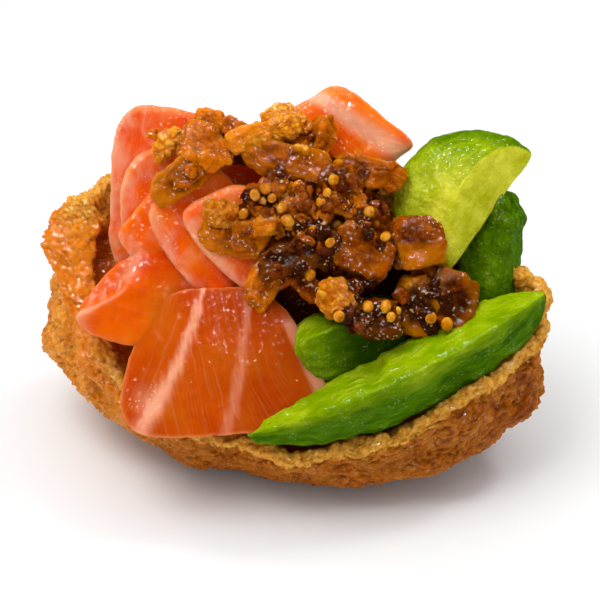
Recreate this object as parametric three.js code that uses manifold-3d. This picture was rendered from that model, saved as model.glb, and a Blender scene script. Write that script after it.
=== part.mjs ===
// Inari sushi: an open pouch of fried tofu, heaped with slices of raw salmon, wedges of avocado and a
// sticky relish of candied onion with mustard seeds.
// Millimetres, +Z up. The low side of the mouth faces -Y. The origin is the middle of the flat spot that
// the pouch rests on.
import * as THREE from "three";
import Module from "manifold-3d";

const wasm = await Module();
wasm.setup();

const GAP = 0.3; // clear space between two pieces that lie against each other
const TURN = 2 * Math.PI;
const degrees = (value) => (value * Math.PI) / 180;
const mix = (from, to, share) => from + (to - from) * share;
const vector = (values) => new THREE.Vector3(...values);
const bell = (value, centre, width) => Math.exp(-(((value - centre) / width) ** 2));
const smooth = (low, high, value) => {
  const share = Math.min(1, Math.max(0, (value - low) / (high - low)));
  return share * share * (3 - 2 * share);
};

// ---------------------------------------------------------------- driving dimensions

const POUCH = {
  mouthLength: 76.2,
  mouthDepth: 43,
  cornerPinch: 1.15, // above 1 draws the two ends of the mouth out to corners
  turn: degrees(-12), // the long axis, from +X: the left end lies further back
  leftHeight: 34.5,
  rightHeight: 27,
  backRise: 10,
  backLean: 5.5, // how far the back wall leans in over the filling
  frontDip: 18.2,
  frontDipAt: degrees(-98),
  frontDipSharpness: 1.8,
  fullness: 2.2, // of the rounded bottom: 2 is an ellipse
  sunk: 1, // how much of the rounded bottom the resting spot flattens
  skin: 2.4,
  bulge: 2.2, // of the left end, halfway up
  corner: 0.9, // of the bulge at the left front
};
// At the left end the top of the wall folds inwards, a torn clump stands out on the fold, and the corner of the
// bag sticks out and up like an ear.
const FOLD = { at: degrees(192), span: 0.6, height: 3.2, reach: 4.2 };
const CLUMP = { at: degrees(178), span: 0.16, reach: 2.6 };
const EAR = { at: degrees(181), span: 0.26, rise: 3, flare: 2 };
const TROUGH = 7; // depth of the gap between the skin and the mound, below the rim
const FRONT_TROUGH = 0.3; // share of that depth in front, where the mound comes close to the rim
const FRONT_LEAN = 4; // how far the inner face leans in over that stretch in front
const MOUND_TOP = 31.5; // height of the filling that the toppings lie on
const SLICE = 2.8; // thickness of a cut of salmon
const SLOPE = degrees(54); // of the heap's face, up from level
const SEED = 1.9; // diameter of a soaked mustard seed

const COLOURS = {
  pouch: { color: 0xb9783a, roughness: 0.55 },
  salmon: { color: 0xf2703c, roughness: 0.35 },
  avocado: { color: 0x8fb52c, roughness: 0.45 },
  relish: { color: 0x6e3a14, roughness: 0.3 },
};

// ---------------------------------------------------------------- solids

function solidFrom(vertices, triangles) {
  return new wasm.Manifold(
    new wasm.Mesh({
      numProp: 3,
      vertProperties: new Float32Array(vertices),
      triVerts: new Uint32Array(triangles),
    }),
  );
}

// A closed surface from pole to pole: rings of `columns` points, one for each row between the two poles.
// point(row, angle) gives [x, y, z].
function closedGrid(rows, columns, point) {
  const vertices = [...point(0, 0)];
  for (let row = 1; row < rows; row++)
    for (let column = 0; column < columns; column++)
      vertices.push(...point(row, (TURN * column) / columns));
  vertices.push(...point(rows, 0));
  const last = vertices.length / 3 - 1;
  const ring = (row, column) => 1 + (row - 1) * columns + (column % columns);
  const triangles = [];
  for (let column = 0; column < columns; column++) {
    triangles.push(0, ring(1, column + 1), ring(1, column));
    for (let row = 1; row < rows - 1; row++) {
      const [a, b] = [ring(row, column), ring(row, column + 1)];
      const [c, d] = [ring(row + 1, column + 1), ring(row + 1, column)];
      triangles.push(a, b, c, a, c, d);
    }
    triangles.push(last, ring(rows - 1, column), ring(rows - 1, column + 1));
  }
  return solidFrom(vertices, triangles);
}

function largestOf(solid) {
  const bodies = solid.decompose();
  return bodies.reduce((best, body) => (body.volume() > best.volume() ? body : best));
}

function geometryOf(solid) {
  const mesh = solid.getMesh();
  const geometry = new THREE.BufferGeometry();
  geometry.setAttribute("position", new THREE.BufferAttribute(mesh.vertProperties, 3));
  geometry.setIndex(new THREE.BufferAttribute(mesh.triVerts, 1));
  geometry.computeVertexNormals();
  return geometry;
}

// Repeatable random numbers from 0 to 1.
function randomFrom(seed) {
  let state = seed;
  return () => {
    state = (state + 0x6d2b79f5) | 0;
    let mixed = Math.imul(state ^ (state >>> 15), 1 | state);
    mixed = (mixed + Math.imul(mixed ^ (mixed >>> 7), 61 | mixed)) ^ mixed;
    return ((mixed ^ (mixed >>> 14)) >>> 0) / 4294967296;
  };
}

// ---------------------------------------------------------------- pouch

function rimHeight(angle) {
  const ends = mix(POUCH.leftHeight, POUCH.rightHeight, (1 + Math.cos(angle)) / 2);
  const back = POUCH.backRise * Math.max(0, Math.sin(angle));
  const facing = Math.max(0, Math.cos(angle - POUCH.frontDipAt));
  const ear = EAR.rise * bell(angle, EAR.at, EAR.span);
  const ragged = 0.5 * Math.sin(7 * angle + 1) + 0.4 * Math.sin(15 * angle + 2) + ear;
  return ends + back - POUCH.frontDip * facing ** POUCH.frontDipSharpness + ragged;
}

// Share of its full width that the bag has at a height: it swells from the resting spot to its widest level.
function swell(angle, z) {
  const widest = 8 + 0.34 * rimHeight(angle);
  const below = Math.max(0, 1 - (z + POUCH.sunk) / (widest + POUCH.sunk));
  return (1 - below ** POUCH.fullness) ** (1 / POUCH.fullness);
}

// Plan position of the skin's outer face at a height, moved `inward`, in the pouch's own turned frame.
function skinAt(angle, z, inward) {
  const [cos, sin] = [Math.cos(angle), Math.sin(angle)];
  const left = Math.max(0, -cos) ** 4;
  const under = rimHeight(angle) - z;
  const tuck = 0.03 + 0.05 * left;
  const spread = swell(angle, z) * (1 - tuck * bell(under, 7.5, 3.6));
  const x = (POUCH.mouthLength / 2) * spread * cos;
  const lean = POUCH.backLean * (Math.max(0, z) / rimHeight(angle)) ** 2 * Math.max(0, sin);
  const bowed = Math.sign(sin) * Math.abs(sin) ** POUCH.cornerPinch;
  const y = (POUCH.mouthDepth / 2) * spread * bowed - lean;
  const normal = new THREE.Vector2(cos / POUCH.mouthLength, sin / POUCH.mouthDepth).normalize();
  const folds =
    POUCH.bulge * bell(z, 14, 7) * left +
    POUCH.corner * bell(angle, degrees(217), 0.4) +
    EAR.flare * bell(angle, EAR.at, EAR.span) * bell(under, FOLD.height, 2.4) +
    0.5 * Math.sin(9 * angle + 0.12 * z + 1.1) +
    0.3 * Math.sin(17 * angle - 0.3 * z + 5) +
    0.3 * Math.sin(0.8 * z + 5 * Math.sin(2 * angle));
  const clump = CLUMP.reach * bell(angle, CLUMP.at, CLUMP.span);
  const reach = FOLD.reach * bell(angle, FOLD.at, FOLD.span) + clump;
  const fold = reach * Math.min(1, Math.max(0, 1 - under / FOLD.height)) ** 0.8;
  const out = folds * Math.min(1, z / 5) - fold - inward;
  return [x + normal.x * out, y + normal.y * out];
}

const frontShare = (angle) => smooth(0.1, -0.6, Math.sin(angle));
const troughDepth = (angle) => TROUGH * mix(1, FRONT_TROUGH, frontShare(angle));

// The bag, its mouth open over a mound of filling. From pole to pole: the resting spot, the outer face, the
// lip, the inner face down to the trough, and the mound.
function makePouch(grow) {
  const outer = [0, 0.05, 0.12, 0.21, 0.32, 0.45, 0.59, 0.73, 0.85, 0.94];
  const lip = [0, 1, 2, 3, 4].map((step) => (Math.PI * step) / 4);
  const mound = [0.85, 0.66, 0.45, 0.22, 0];
  const half = POUCH.skin / 2;
  const rows = [
    ...[0, 0.6].map((share) => (angle) => {
      const [x, y] = skinAt(angle, 0, 0);
      return [x * share, y * share, 0];
    }),
    ...outer.map((share) => (angle) => {
      const z = share * (rimHeight(angle) - half);
      return [...skinAt(angle, z, -grow), z];
    }),
    ...lip.map((round) => (angle) => {
      const z = rimHeight(angle) - half + (half + grow) * Math.sin(round);
      return [...skinAt(angle, z, half - (half + grow) * Math.cos(round)), z];
    }),
    ...[0.5, 1].map((share) => (angle) => {
      const z = rimHeight(angle) - half - share * troughDepth(angle) + grow;
      const lean = share * FRONT_LEAN * frontShare(angle);
      return [...skinAt(angle, z, POUCH.skin + lean + grow), z];
    }),
    ...mound.map((share) => (angle) => {
      const foot = rimHeight(angle) - half - troughDepth(angle);
      const [x, y] = skinAt(angle, foot, POUCH.skin + FRONT_LEAN * frontShare(angle));
      const rise = Math.min(1, (1 - share) / 0.8) ** 0.8;
      return [x * share, y * share, mix(foot, MOUND_TOP, rise) + grow];
    }),
  ];
  const [cos, sin] = [Math.cos(POUCH.turn), Math.sin(POUCH.turn)];
  return closedGrid(rows.length - 1, 66, (row, angle) => {
    const [x, y, z] = rows[row](angle);
    return [x * cos - y * sin, x * sin + y * cos, z];
  });
}

// ---------------------------------------------------------------- salmon

// A cut of fish, a four-sided sheet with round corners: `nose` is one corner, `foot` and `top` are the two
// next to it. `crownDown` and `crownAcross` are the sagittas of the face that shows. The sheet gets wider
// towards its foot by `widen` and in its middle by `belly`.
function makeSlice(spec, grow) {
  const { thickness = SLICE, corner = 4.5, widen = 0, belly = 0 } = spec;
  const { crownDown = 0, crownAcross = 0 } = spec;
  const [nose, foot, top] = [spec.nose, spec.foot, spec.top].map(vector);
  const centre = foot.clone().lerp(top, 0.5);
  const down = foot.clone().sub(nose).divideScalar(2);
  const across = top.clone().sub(nose).divideScalar(2);
  const normal = down.clone().cross(across).normalize();
  const [length, width] = [down.length(), across.length()];
  const half = thickness / 2 + grow;
  const edge = half / Math.min(length, width);
  const rows = [
    ...[0, 0.6, 1].map((share) => [share * (1 - edge), -1]),
    [1 - 0.3 * edge, -0.9],
    [1, 0],
    [1 - 0.3 * edge, 0.9],
    ...[1, 0.6, 0].map((share) => [share * (1 - edge), 1]),
  ];
  return closedGrid(rows.length - 1, 20, (row, angle) => {
    const [reach, lift] = rows[row];
    const round = (value) => Math.sign(value) * Math.abs(value) ** (2 / corner);
    const a = reach * round(Math.cos(angle)) * (1 + grow / length);
    const b = reach * round(Math.sin(angle)) * (1 + grow / width);
    const lean = normal
      .clone()
      .addScaledVector(down, (2 * crownDown * a) / length ** 2)
      .addScaledVector(across, (2 * crownAcross * b) / width ** 2)
      .normalize();
    return centre
      .clone()
      .addScaledVector(down, a)
      .addScaledVector(across, b * (1 + widen * a + belly * (1 - a * a)))
      .addScaledVector(normal, -crownDown * a * a - crownAcross * b * b)
      .addScaledVector(lean, lift * half)
      .toArray();
  });
}

const SALMON = {
  salmon_drape: {
    nose: [-26.4, -7.5, 32],
    foot: [-24, -22.4, 16.4],
    top: [0.2, -7.1, 34],
    thickness: 3.4,
    widen: 0.3,
    corner: 3.6,
    crownDown: 1.2,
    crownAcross: 2.6,
  },
  salmon_tongue: {
    nose: [-32.6, -14.4, 23.4],
    foot: [-13, -8.8, 27.6],
    top: [-31.8, -4.2, 32.6],
    thickness: 3.4,
    widen: 0.15,
    corner: 1.9,
    crownAcross: 1,
  },
  salmon_fan_1: {
    nose: [-27.6, 11.3, 54.6],
    foot: [-29.4, 2.8, 27],
    top: [-5, 11.6, 49.1],
    corner: 4,
    crownAcross: 0.8,
  },
  salmon_fan_2: {
    nose: [-25.6, 6.1, 47.3],
    foot: [-26.8, 1.6, 33.3],
    top: [-15.8, 8, 50.5],
    corner: 3.6,
    belly: 0.15,
  },
  salmon_fan_3: {
    nose: [-27.6, -0.4, 38.1],
    foot: [-19.7, -4.7, 28.7],
    top: [-17.5, 6.3, 46.9],
    corner: 10,
    belly: 0.05,
  },
  salmon_fan_4: {
    nose: [-23.3, -1, 42.4],
    foot: [-13.9, -6.2, 29.1],
    top: [-12.5, 4.4, 47.3],
    corner: 6,
    belly: 0.12,
  },
  salmon_fan_5: {
    nose: [-18.6, -3, 43.5],
    foot: [-6.5, -6.9, 30.4],
    top: [-8.2, 1, 46.8],
    corner: 5,
    belly: 0.15,
  },
  salmon_back: {
    nose: [-5, 9.4, 50.6],
    foot: [7.4, 6.8, 41],
    top: [5.6, 14.6, 55.2],
    thickness: 7,
    corner: 7,
  },
};

// ---------------------------------------------------------------- avocado

// Radius of a section with flat faces at a distance, the first edge between two of them at angle 0. More
// crispness makes the edges sharper.
function section(angle, { faces, distance }, crispness) {
  let reach = 0;
  for (let face = 0; face < faces; face++) {
    const facing = (TURN * (face + 0.5)) / faces;
    reach += Math.max(0, Math.cos(angle - facing) / distance) ** crispness;
  }
  return reach ** (-1 / crispness);
}

const THREE_FACES = { faces: 3, distance: 0.58 };
const FOUR_FACES = { faces: 4, distance: 0.78 };

// A wedge cut lengthways from the fruit, from tip to tip. `ridge` points from its spine to the edge between
// its two cut faces, `bow` is the sagitta of the spine, and `width` and `height` are the half sizes of its
// section. `blunt` fills out its two ends.
function makeWedge(spec, grow) {
  const { shape = THREE_FACES, crispness = 7, blunt = [1, 1] } = spec;
  const from = vector(spec.from);
  const to = vector(spec.to);
  const bow = vector(spec.bow);
  const rows = 12;
  return closedGrid(rows, 18, (row, angle) => {
    const t = -Math.cos((Math.PI * row) / rows);
    const reach = to.clone().sub(from).length() / 2;
    const spine = from
      .clone()
      .lerp(to, (1 + t * (1 + grow / reach)) / 2)
      .addScaledVector(bow, 1 - t * t);
    const tangent = to.clone().sub(from).addScaledVector(bow, -4 * t).normalize();
    const ridge = vector(spec.ridge);
    ridge.addScaledVector(tangent, -ridge.dot(tangent)).normalize();
    const side = tangent.clone().cross(ridge);
    const sharpness = t < 0 ? blunt[0] : blunt[1];
    const taper = (1 - Math.abs(t) ** (2 * sharpness)) ** 0.55;
    const radius = section(angle, shape, crispness) * taper;
    return spine
      .addScaledVector(ridge, radius * Math.cos(angle) * (spec.height + grow))
      .addScaledVector(side, radius * Math.sin(angle) * (spec.width + grow))
      .toArray();
  });
}

const AVOCADO = {
  avocado_front: {
    from: [-7.6, -21.4, 16.6],
    to: [36.2, -8.4, 33],
    bow: [1, -2.8, -0.8],
    ridge: [0, -0.75, 0.65],
    width: 6,
    height: 6,
    blunt: [1, 1.4],
    crispness: 5,
  },
  avocado_middle: {
    from: [-0.5, -14.5, 26],
    to: [16, -9, 29],
    bow: [0, 0, 0.5],
    ridge: [-0.1, -0.6, 0.8],
    width: 6,
    height: 5.4,
    blunt: [3, 3],
  },
  avocado_top: {
    at: [26.4, 2.7, 39.4],
    size: [12.2, 13, 7.4],
    spin: 46,
    inside: [0.7, 5.9, 0.7],
    cuts: [
      { facing: [0.235, -0.526, 0.817], distance: 3.4 },
      { facing: [0, -0.8, -0.6], distance: -0.4 },
    ],
  },
  avocado_side: {
    from: [26.6, -3.4, 23],
    to: [29.2, 4.8, 43],
    bow: [0.8, 0, 0],
    ridge: [0.3, -0.77, 0.56],
    width: 4.7,
    height: 4.6,
    shape: FOUR_FACES,
    blunt: [3, 2],
    crispness: 9,
  },
};

// How a piece lies that leans back on the slope of the heap: its length and width in the slope, turned by
// `spin`, then tipped about its length by `roll`, in degrees.
function onSlope(spin, roll = 0) {
  const turns = [
    [1, 0, 0, SLOPE],
    [0, 0, 1, degrees(spin)],
    [1, 0, 0, degrees(roll)],
  ];
  return turns.reduce(
    (whole, [x, y, z, turn]) =>
      whole.multiply(new THREE.Quaternion().setFromAxisAngle(new THREE.Vector3(x, y, z), turn)),
    new THREE.Quaternion(),
  );
}

// A thick wedge, a rounded lump with flat cuts. Each cut faces a direction, its plane a distance from the
// lump's middle. `inside` is a point that all the cuts leave in the lump.
function makeLump({ at, size, spin, inside, cuts }, grow) {
  const [rows, columns, crispness] = [16, 26, 26];
  const half = vector(size).addScalar(grow);
  const origin = vector(inside);
  const squared = (point) => point.clone().divide(half).lengthSq();
  const turn = onSlope(spin);
  return closedGrid(rows, columns, (row, angle) => {
    const tilt = Math.PI * (row / rows - 0.5);
    const ray = new THREE.Vector3(
      Math.cos(tilt) * Math.cos(angle),
      Math.cos(tilt) * Math.sin(angle),
      Math.sin(tilt),
    ).multiply(half);
    const off = ray.clone().divide(half).dot(origin.clone().divide(half));
    let reach = (1 / (Math.sqrt(off ** 2 + 1 - squared(origin)) - off)) ** crispness;
    for (const { facing, distance } of cuts) {
      const room = distance + grow - origin.dot(vector(facing));
      reach += Math.max(0, ray.dot(vector(facing)) / room) ** crispness;
    }
    return ray
      .multiplyScalar(reach ** (-1 / crispness))
      .add(origin)
      .applyQuaternion(turn)
      .add(vector(at))
      .toArray();
  });
}

// ---------------------------------------------------------------- relish

// Places and half sizes of the larger pieces of candied onion, from the top left of the heap to its foot, and
// how each lies on the slope.
const ONION = [
  { at: [-13.9, 3, 51.2], size: [4.3, 3.4, 0.8], spin: -35, roll: -25 },
  { at: [-13.4, 7, 53.2], size: [2.2, 1.6, 1.5], spin: -20 },
  { at: [-9.8, 6.5, 52.4], size: [1.7, 1.3, 1.3], spin: -15 },
  { at: [-17.6, 0.4, 47.4], size: [4.7, 2.7, 1.1], spin: 32, roll: 10 },
  { at: [-16.5, -0.4, 48.4], size: [2.9, 1.5, 1], spin: 30 },
  { at: [-7.2, 2.6, 52.8], size: [3.6, 2, 0.8], spin: 22, roll: 4 },
  { at: [-1.6, 1, 49.6], size: [7.4, 2.4, 1.5], spin: -14, roll: -15 },
  { at: [2.9, 4.2, 51.8], size: [3.5, 2, 1.5], spin: 68, roll: 25 },
  { at: [10, 2.4, 47.2], size: [5.9, 2.2, 1.3], spin: -13 },
  { at: [-9.4, -4.5, 40.3], size: [5.7, 2.8, 1.4], spin: -6, roll: 15 },
  { at: [-1.5, -1.6, 45.6], size: [2.9, 1.7, 1.6], spin: -15 },
  { at: [5.3, -0.6, 46.4], size: [3.3, 2.8, 2.2], spin: -50 },
  { at: [7.6, -1.4, 43.4], size: [3.6, 2.4, 2.2], spin: -35 },
  { at: [0, -3.5, 43], size: [3.8, 2.7, 2], spin: -10 },
  { at: [9.3, -6.4, 38.6], size: [4.6, 3.7, 2.7], spin: -28 },
  { at: [17.2, -5.4, 39.7], size: [3.9, 3.9, 2.4], spin: 6 },
  { at: [2.4, -5.8, 39.4], size: [3.8, 3, 2.4], spin: -30 },
  { at: [-5, -7.8, 35], size: [4.6, 2.4, 0.9], spin: 62, roll: 10 },
  { at: [-1.5, -6.8, 38.2], size: [4.8, 2.5, 1.9], spin: 18 },
  { at: [0.6, -8.2, 34.6], size: [3.3, 1.6, 1.4], spin: -58 },
  { at: [10.5, -13.2, 31.8], size: [4.9, 2.9, 2.4], spin: 4 },
  { at: [17.2, -9.8, 32], size: [4.5, 3, 2.4], spin: 80 },
  { at: [22.1, -9.2, 32], size: [4.7, 3.7, 2.7], spin: 75 },
  { at: [-19.4, 4.6, 50.5], size: [3.1, 1.9, 1.5], spin: 52 },
  { at: [-2, 4.6, 52.9], size: [2.6, 2.4, 2.2], spin: 0 },
  { at: [-11.5, -3.4, 43.6], size: [2.9, 2.2, 1.6], spin: -10 },
  { at: [5.4, -12.6, 35], size: [2.9, 3.1, 2.2], spin: 40 },
];
// The sticky masses that carry them: the heap itself, and what stands behind its top.
const CORES = [
  { at: [4, 0.4, 38], size: [11.4, 9.8, 6.6], spin: 0 },
  { at: [-1, 5.5, 46], size: [5.5, 5, 3.5], spin: 0 },
];
const SEED_COUNT = 30;

// A rough nugget: a rounded block with a few seeded lumps.
function makeNugget({ at, size, spin, roll }, random, rows = 5, columns = 8, squareness = 0.6) {
  const phase = [random(), random(), random()].map((value) => value * TURN);
  const turn = onSlope(spin, roll);
  return closedGrid(rows, columns, (row, angle) => {
    const tilt = Math.PI * (row / rows - 0.5);
    const block = (value) => Math.sign(value) * Math.abs(value) ** squareness;
    const lump =
      1 +
      0.12 * Math.sin(3 * angle + phase[0]) * Math.cos(tilt) +
      0.1 * Math.sin(4 * tilt + phase[1]) * Math.cos(2 * angle + phase[2]);
    return new THREE.Vector3(
      size[0] * block(Math.cos(tilt)) * block(Math.cos(angle)) * lump,
      size[1] * block(Math.cos(tilt)) * block(Math.sin(angle)) * lump,
      size[2] * block(Math.sin(tilt)) * lump,
    )
      .applyQuaternion(turn)
      .add(vector(at))
      .toArray();
  });
}

// Points spread over the heap's skin by area, where it faces up or forward.
function pointsOn(solid, count, random) {
  const mesh = solid.getMesh();
  const corner = (index) => vector(mesh.vertProperties.subarray(3 * index, 3 * index + 3));
  const faces = [];
  let total = 0;
  for (let first = 0; first < mesh.triVerts.length; first += 3) {
    const [a, b, c] = [0, 1, 2].map((step) => corner(mesh.triVerts[first + step]));
    const cross = b.clone().sub(a).cross(c.clone().sub(a));
    const area = cross.length() / 2;
    if (cross.z - cross.y < 0.2 * cross.length()) continue;
    total += area;
    faces.push({ a, b, c, total });
  }
  const points = [];
  while (points.length < count) {
    const pick = random() * total;
    const { a, b, c } = faces.find((face) => face.total >= pick);
    const [u, v] = [random(), random()];
    const share = u + v > 1 ? [1 - u, 1 - v] : [u, v];
    const point = a.clone().multiplyScalar(1 - share[0] - share[1]);
    point.addScaledVector(b, share[0]).addScaledVector(c, share[1]);
    if (points.every((other) => other.distanceTo(point) > SEED)) points.push(point);
  }
  return points;
}

function makeRelish() {
  const random = randomFrom(7);
  const cores = CORES.map((core) => makeNugget(core, random, 8, 14, 1));
  const pieces = ONION.map((piece) => makeNugget(piece, random));
  const heap = wasm.Manifold.union([...cores, ...pieces]);
  const seeds = pointsOn(heap, SEED_COUNT, random).map((point) =>
    closedGrid(4, 5, (row, angle) => {
      const tilt = Math.PI * (row / 4 - 0.5);
      const flat = (SEED / 2) * Math.cos(tilt);
      return [
        point.x + flat * Math.cos(angle),
        point.y + flat * Math.sin(angle),
        point.z + (SEED / 2) * Math.sin(tilt),
      ];
    }),
  );
  return wasm.Manifold.union([heap, ...seeds]);
}

// ---------------------------------------------------------------- the pieces, put together

const sushi = new THREE.Group();

function add(name, solid, finish) {
  const mesh = new THREE.Mesh(geometryOf(solid), new THREE.MeshStandardMaterial(COLOURS[finish]));
  mesh.name = name;
  sushi.add(mesh);
}

// What is placed first keeps its form, and what comes later gives way to it, with a gap between them.
const placed = [
  ["salmon_drape", makeSlice, SALMON, "salmon"],
  ["salmon_tongue", makeSlice, SALMON, "salmon"],
  ...Object.keys(AVOCADO).map((name) => {
    return [name, AVOCADO[name].cuts ? makeLump : makeWedge, AVOCADO, "avocado"];
  }),
  ...[5, 4, 3, 2, 1].map((count) => [`salmon_fan_${count}`, makeSlice, SALMON, "salmon"]),
  ["salmon_back", makeSlice, SALMON, "salmon"],
];
let taken = null;
for (const [name, make, specs, finish] of placed) {
  const whole = make(specs[name], 0);
  add(name, taken ? largestOf(whole.subtract(taken)) : whole, finish);
  const room = make(specs[name], GAP);
  taken = taken ? taken.add(room) : room;
}
add("relish", largestOf(makeRelish().subtract(taken.add(makePouch(GAP)))), "relish");
add("pouch", largestOf(makePouch(0).subtract(taken)), "pouch");

export default sushi;
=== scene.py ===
# Inari sushi: an open pouch of fried tofu, heaped with slices of raw salmon, wedges of avocado and a sticky
# relish of candied onion with mustard seeds. Lengths are in millimetres, in the frame of the CAD model, and
# become metres where a mesh is made.
import math

import bpy
import numpy as np
from mathutils import Euler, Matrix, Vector, noise
from mathutils.bvhtree import BVHTree


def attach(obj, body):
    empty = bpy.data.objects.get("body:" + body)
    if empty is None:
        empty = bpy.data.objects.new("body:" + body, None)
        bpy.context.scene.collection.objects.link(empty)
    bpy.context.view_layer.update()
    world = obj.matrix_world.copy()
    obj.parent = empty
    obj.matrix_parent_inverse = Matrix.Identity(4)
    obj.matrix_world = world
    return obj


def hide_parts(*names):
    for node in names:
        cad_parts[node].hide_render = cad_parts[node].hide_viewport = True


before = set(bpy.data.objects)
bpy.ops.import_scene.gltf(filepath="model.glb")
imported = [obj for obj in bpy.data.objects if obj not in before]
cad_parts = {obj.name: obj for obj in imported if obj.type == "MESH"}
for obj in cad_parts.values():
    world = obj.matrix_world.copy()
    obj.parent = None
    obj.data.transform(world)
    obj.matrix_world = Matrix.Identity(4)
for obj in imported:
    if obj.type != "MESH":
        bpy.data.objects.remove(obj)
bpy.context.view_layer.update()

MM = 0.001
TURN = 2 * math.pi
noise.seed_set(1)  # without a seed, noise_vector differs from run to run


# ---------------------------------------------------------------- numbers and noise


def mix(start, end, share):
    return start + (end - start) * share


def smooth(low, high, value):
    """0 below `low`, 1 above `high`, with a soft step between."""
    share = np.clip((value - low) / (high - low), 0, 1)
    return share * share * (3 - 2 * share)


def bell(value, centre, width):
    return np.exp(-(((value - centre) / width) ** 2))


def unit(vectors):
    return vectors / np.linalg.norm(vectors, axis=-1, keepdims=True)


def scaled(points, size, seed):
    """Points in units of `size`, which is one length or one for each axis, as lists for Blender's noise."""
    return (points / np.asarray(size, float) + np.array([17.3, 41.9, 5.7]) * seed).tolist()


def waves(points, size, seed=0, octaves=3, roughness=0.5):
    """Noise from about -1 to 1 with features of `size`."""
    decay = -math.log2(roughness)
    return np.array([noise.fractal(p, decay, 2.0, octaves) for p in scaled(points, size, seed)])


def warped(points, size, amount, seed=0):
    """The points, each moved up to `amount` by smooth noise."""
    return points + amount * np.array([noise.noise_vector(p) for p in scaled(points, size, seed)])


def pebbles(points, size, seed=0):
    """0 on the creases between rounded cells of `size`, rising to about 1 on their tops."""
    near = np.array([noise.voronoi(p)[0][:2] for p in scaled(points, size, seed)])
    return np.clip((near[:, 1] - near[:, 0]) * 1.6, 0, 1)


def ridges(points, size, seed=0, octaves=3):
    """0 in long winding creases, rising to 1 between them."""
    values = np.abs(waves(points, size, seed, octaves, 0.45))
    return np.clip(values * 3.2, 0, 1) ** 0.7


def pits(points, size, seed=0):
    """1 at the middle of scattered round holes, 0 away from them."""
    near = np.array([noise.voronoi(p)[0][0] for p in scaled(points, size, seed)])
    return 1 - smooth(0.15, 0.5, near)


# ---------------------------------------------------------------- meshes


class Skin:
    """A closed surface of `rows` rings of `columns` points. The first and the last ring are single points.
    Its marks are values for its points, which the materials read."""

    def __init__(self, grid):
        self.rows, self.columns = grid.shape[:2]
        self.points = self.flat(grid)
        self.triangles = self.faces()
        self.marks = {}

    def mark(self, **marks):
        """Keeps values for the points by name. A single number stands for all of them."""
        for name, value in marks.items():
            self.marks[name] = np.full(len(self.points), float(value)) if np.isscalar(value) else value

    def flat(self, values):
        """Values for the mesh's points, of an array with one for each ring and column."""
        values = np.broadcast_to(values, (self.rows, self.columns, *values.shape[2:]))
        inner = values[1:-1].reshape(-1, *values.shape[2:])
        return np.concatenate([values[:1, 0], inner, values[-1:, 0]])

    def faces(self):
        """Two triangles between each four points, and a fan at each end."""
        first = 1 + np.arange(self.rows - 3)[:, None] * self.columns
        column = np.arange(self.columns)
        beside = (column + 1) % self.columns
        a, b = first + column, first + beside
        c, d = b + self.columns, a + self.columns
        end = 1 + (self.rows - 3) * self.columns
        last = np.full(self.columns, end + self.columns)
        fans_and_sides = [
            np.stack([np.zeros_like(column), 1 + beside, 1 + column], -1),
            np.stack([a, b, c], -1).reshape(-1, 3),
            np.stack([a, c, d], -1).reshape(-1, 3),
            np.stack([last, end + column, end + beside], -1),
        ]
        return np.concatenate(fans_and_sides)

    def normals(self):
        return point_normals(self.points, self.triangles)

    def push(self, height):
        """Moves the points out along the surface's normals."""
        self.points = self.points + self.normals() * np.asarray(height)[:, None]


class Shell(Skin):
    """A closed surface given by its points and triangles."""

    def __init__(self, points, triangles):
        self.points, self.triangles, self.marks = points, triangles, {}


def point_normals(points, triangles):
    a, b, c = (points[triangles[:, corner]] for corner in range(3))
    facing = np.cross(b - a, c - a)
    total = np.zeros_like(points)
    for corner in range(3):
        for axis in range(3):
            total[:, axis] += np.bincount(triangles[:, corner], facing[:, axis], len(points))
    return unit(total)


def joined(skins):
    """The points of one or more skins, and their triangles."""
    counts = np.cumsum([0] + [len(skin.points) for skin in skins])
    triangles = [skin.triangles + start for skin, start in zip(skins, counts)]
    return np.concatenate([skin.points for skin in skins]), np.concatenate(triangles)


def mesh_object(name, skins):
    """One object of one or more skins, with their marks as attributes of its points."""
    points, triangles = joined(skins)
    mesh = bpy.data.meshes.new(name)
    mesh.from_pydata((points * MM).tolist(), [], triangles.tolist())
    mesh.shade_smooth()
    for mark in skins[0].marks:
        values = np.concatenate([skin.marks[mark] for skin in skins])
        kind, field = ("FLOAT_VECTOR", "vector") if values.ndim == 2 else ("FLOAT", "value")
        mesh.attributes.new(mark, kind, "POINT").data.foreach_set(field, values.ravel())
    return placed(name, mesh)


def placed(name, data):
    thing = bpy.data.objects.new(name, data)
    bpy.context.scene.collection.objects.link(thing)
    return thing


def add_piece(name, skins, material, node):
    thing = mesh_object(name, skins)
    thing.data.materials.append(material)
    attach(thing, "root")
    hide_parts(node)


# ---------------------------------------------------------------- materials


def srgb(red, green, blue):
    """A colour picked as 0 to 255, as the shader takes it."""
    share = [value / 255 for value in (red, green, blue)]
    return [v / 12.92 if v <= 0.04045 else ((v + 0.055) / 1.055) ** 2.4 for v in share] + [1]


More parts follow.
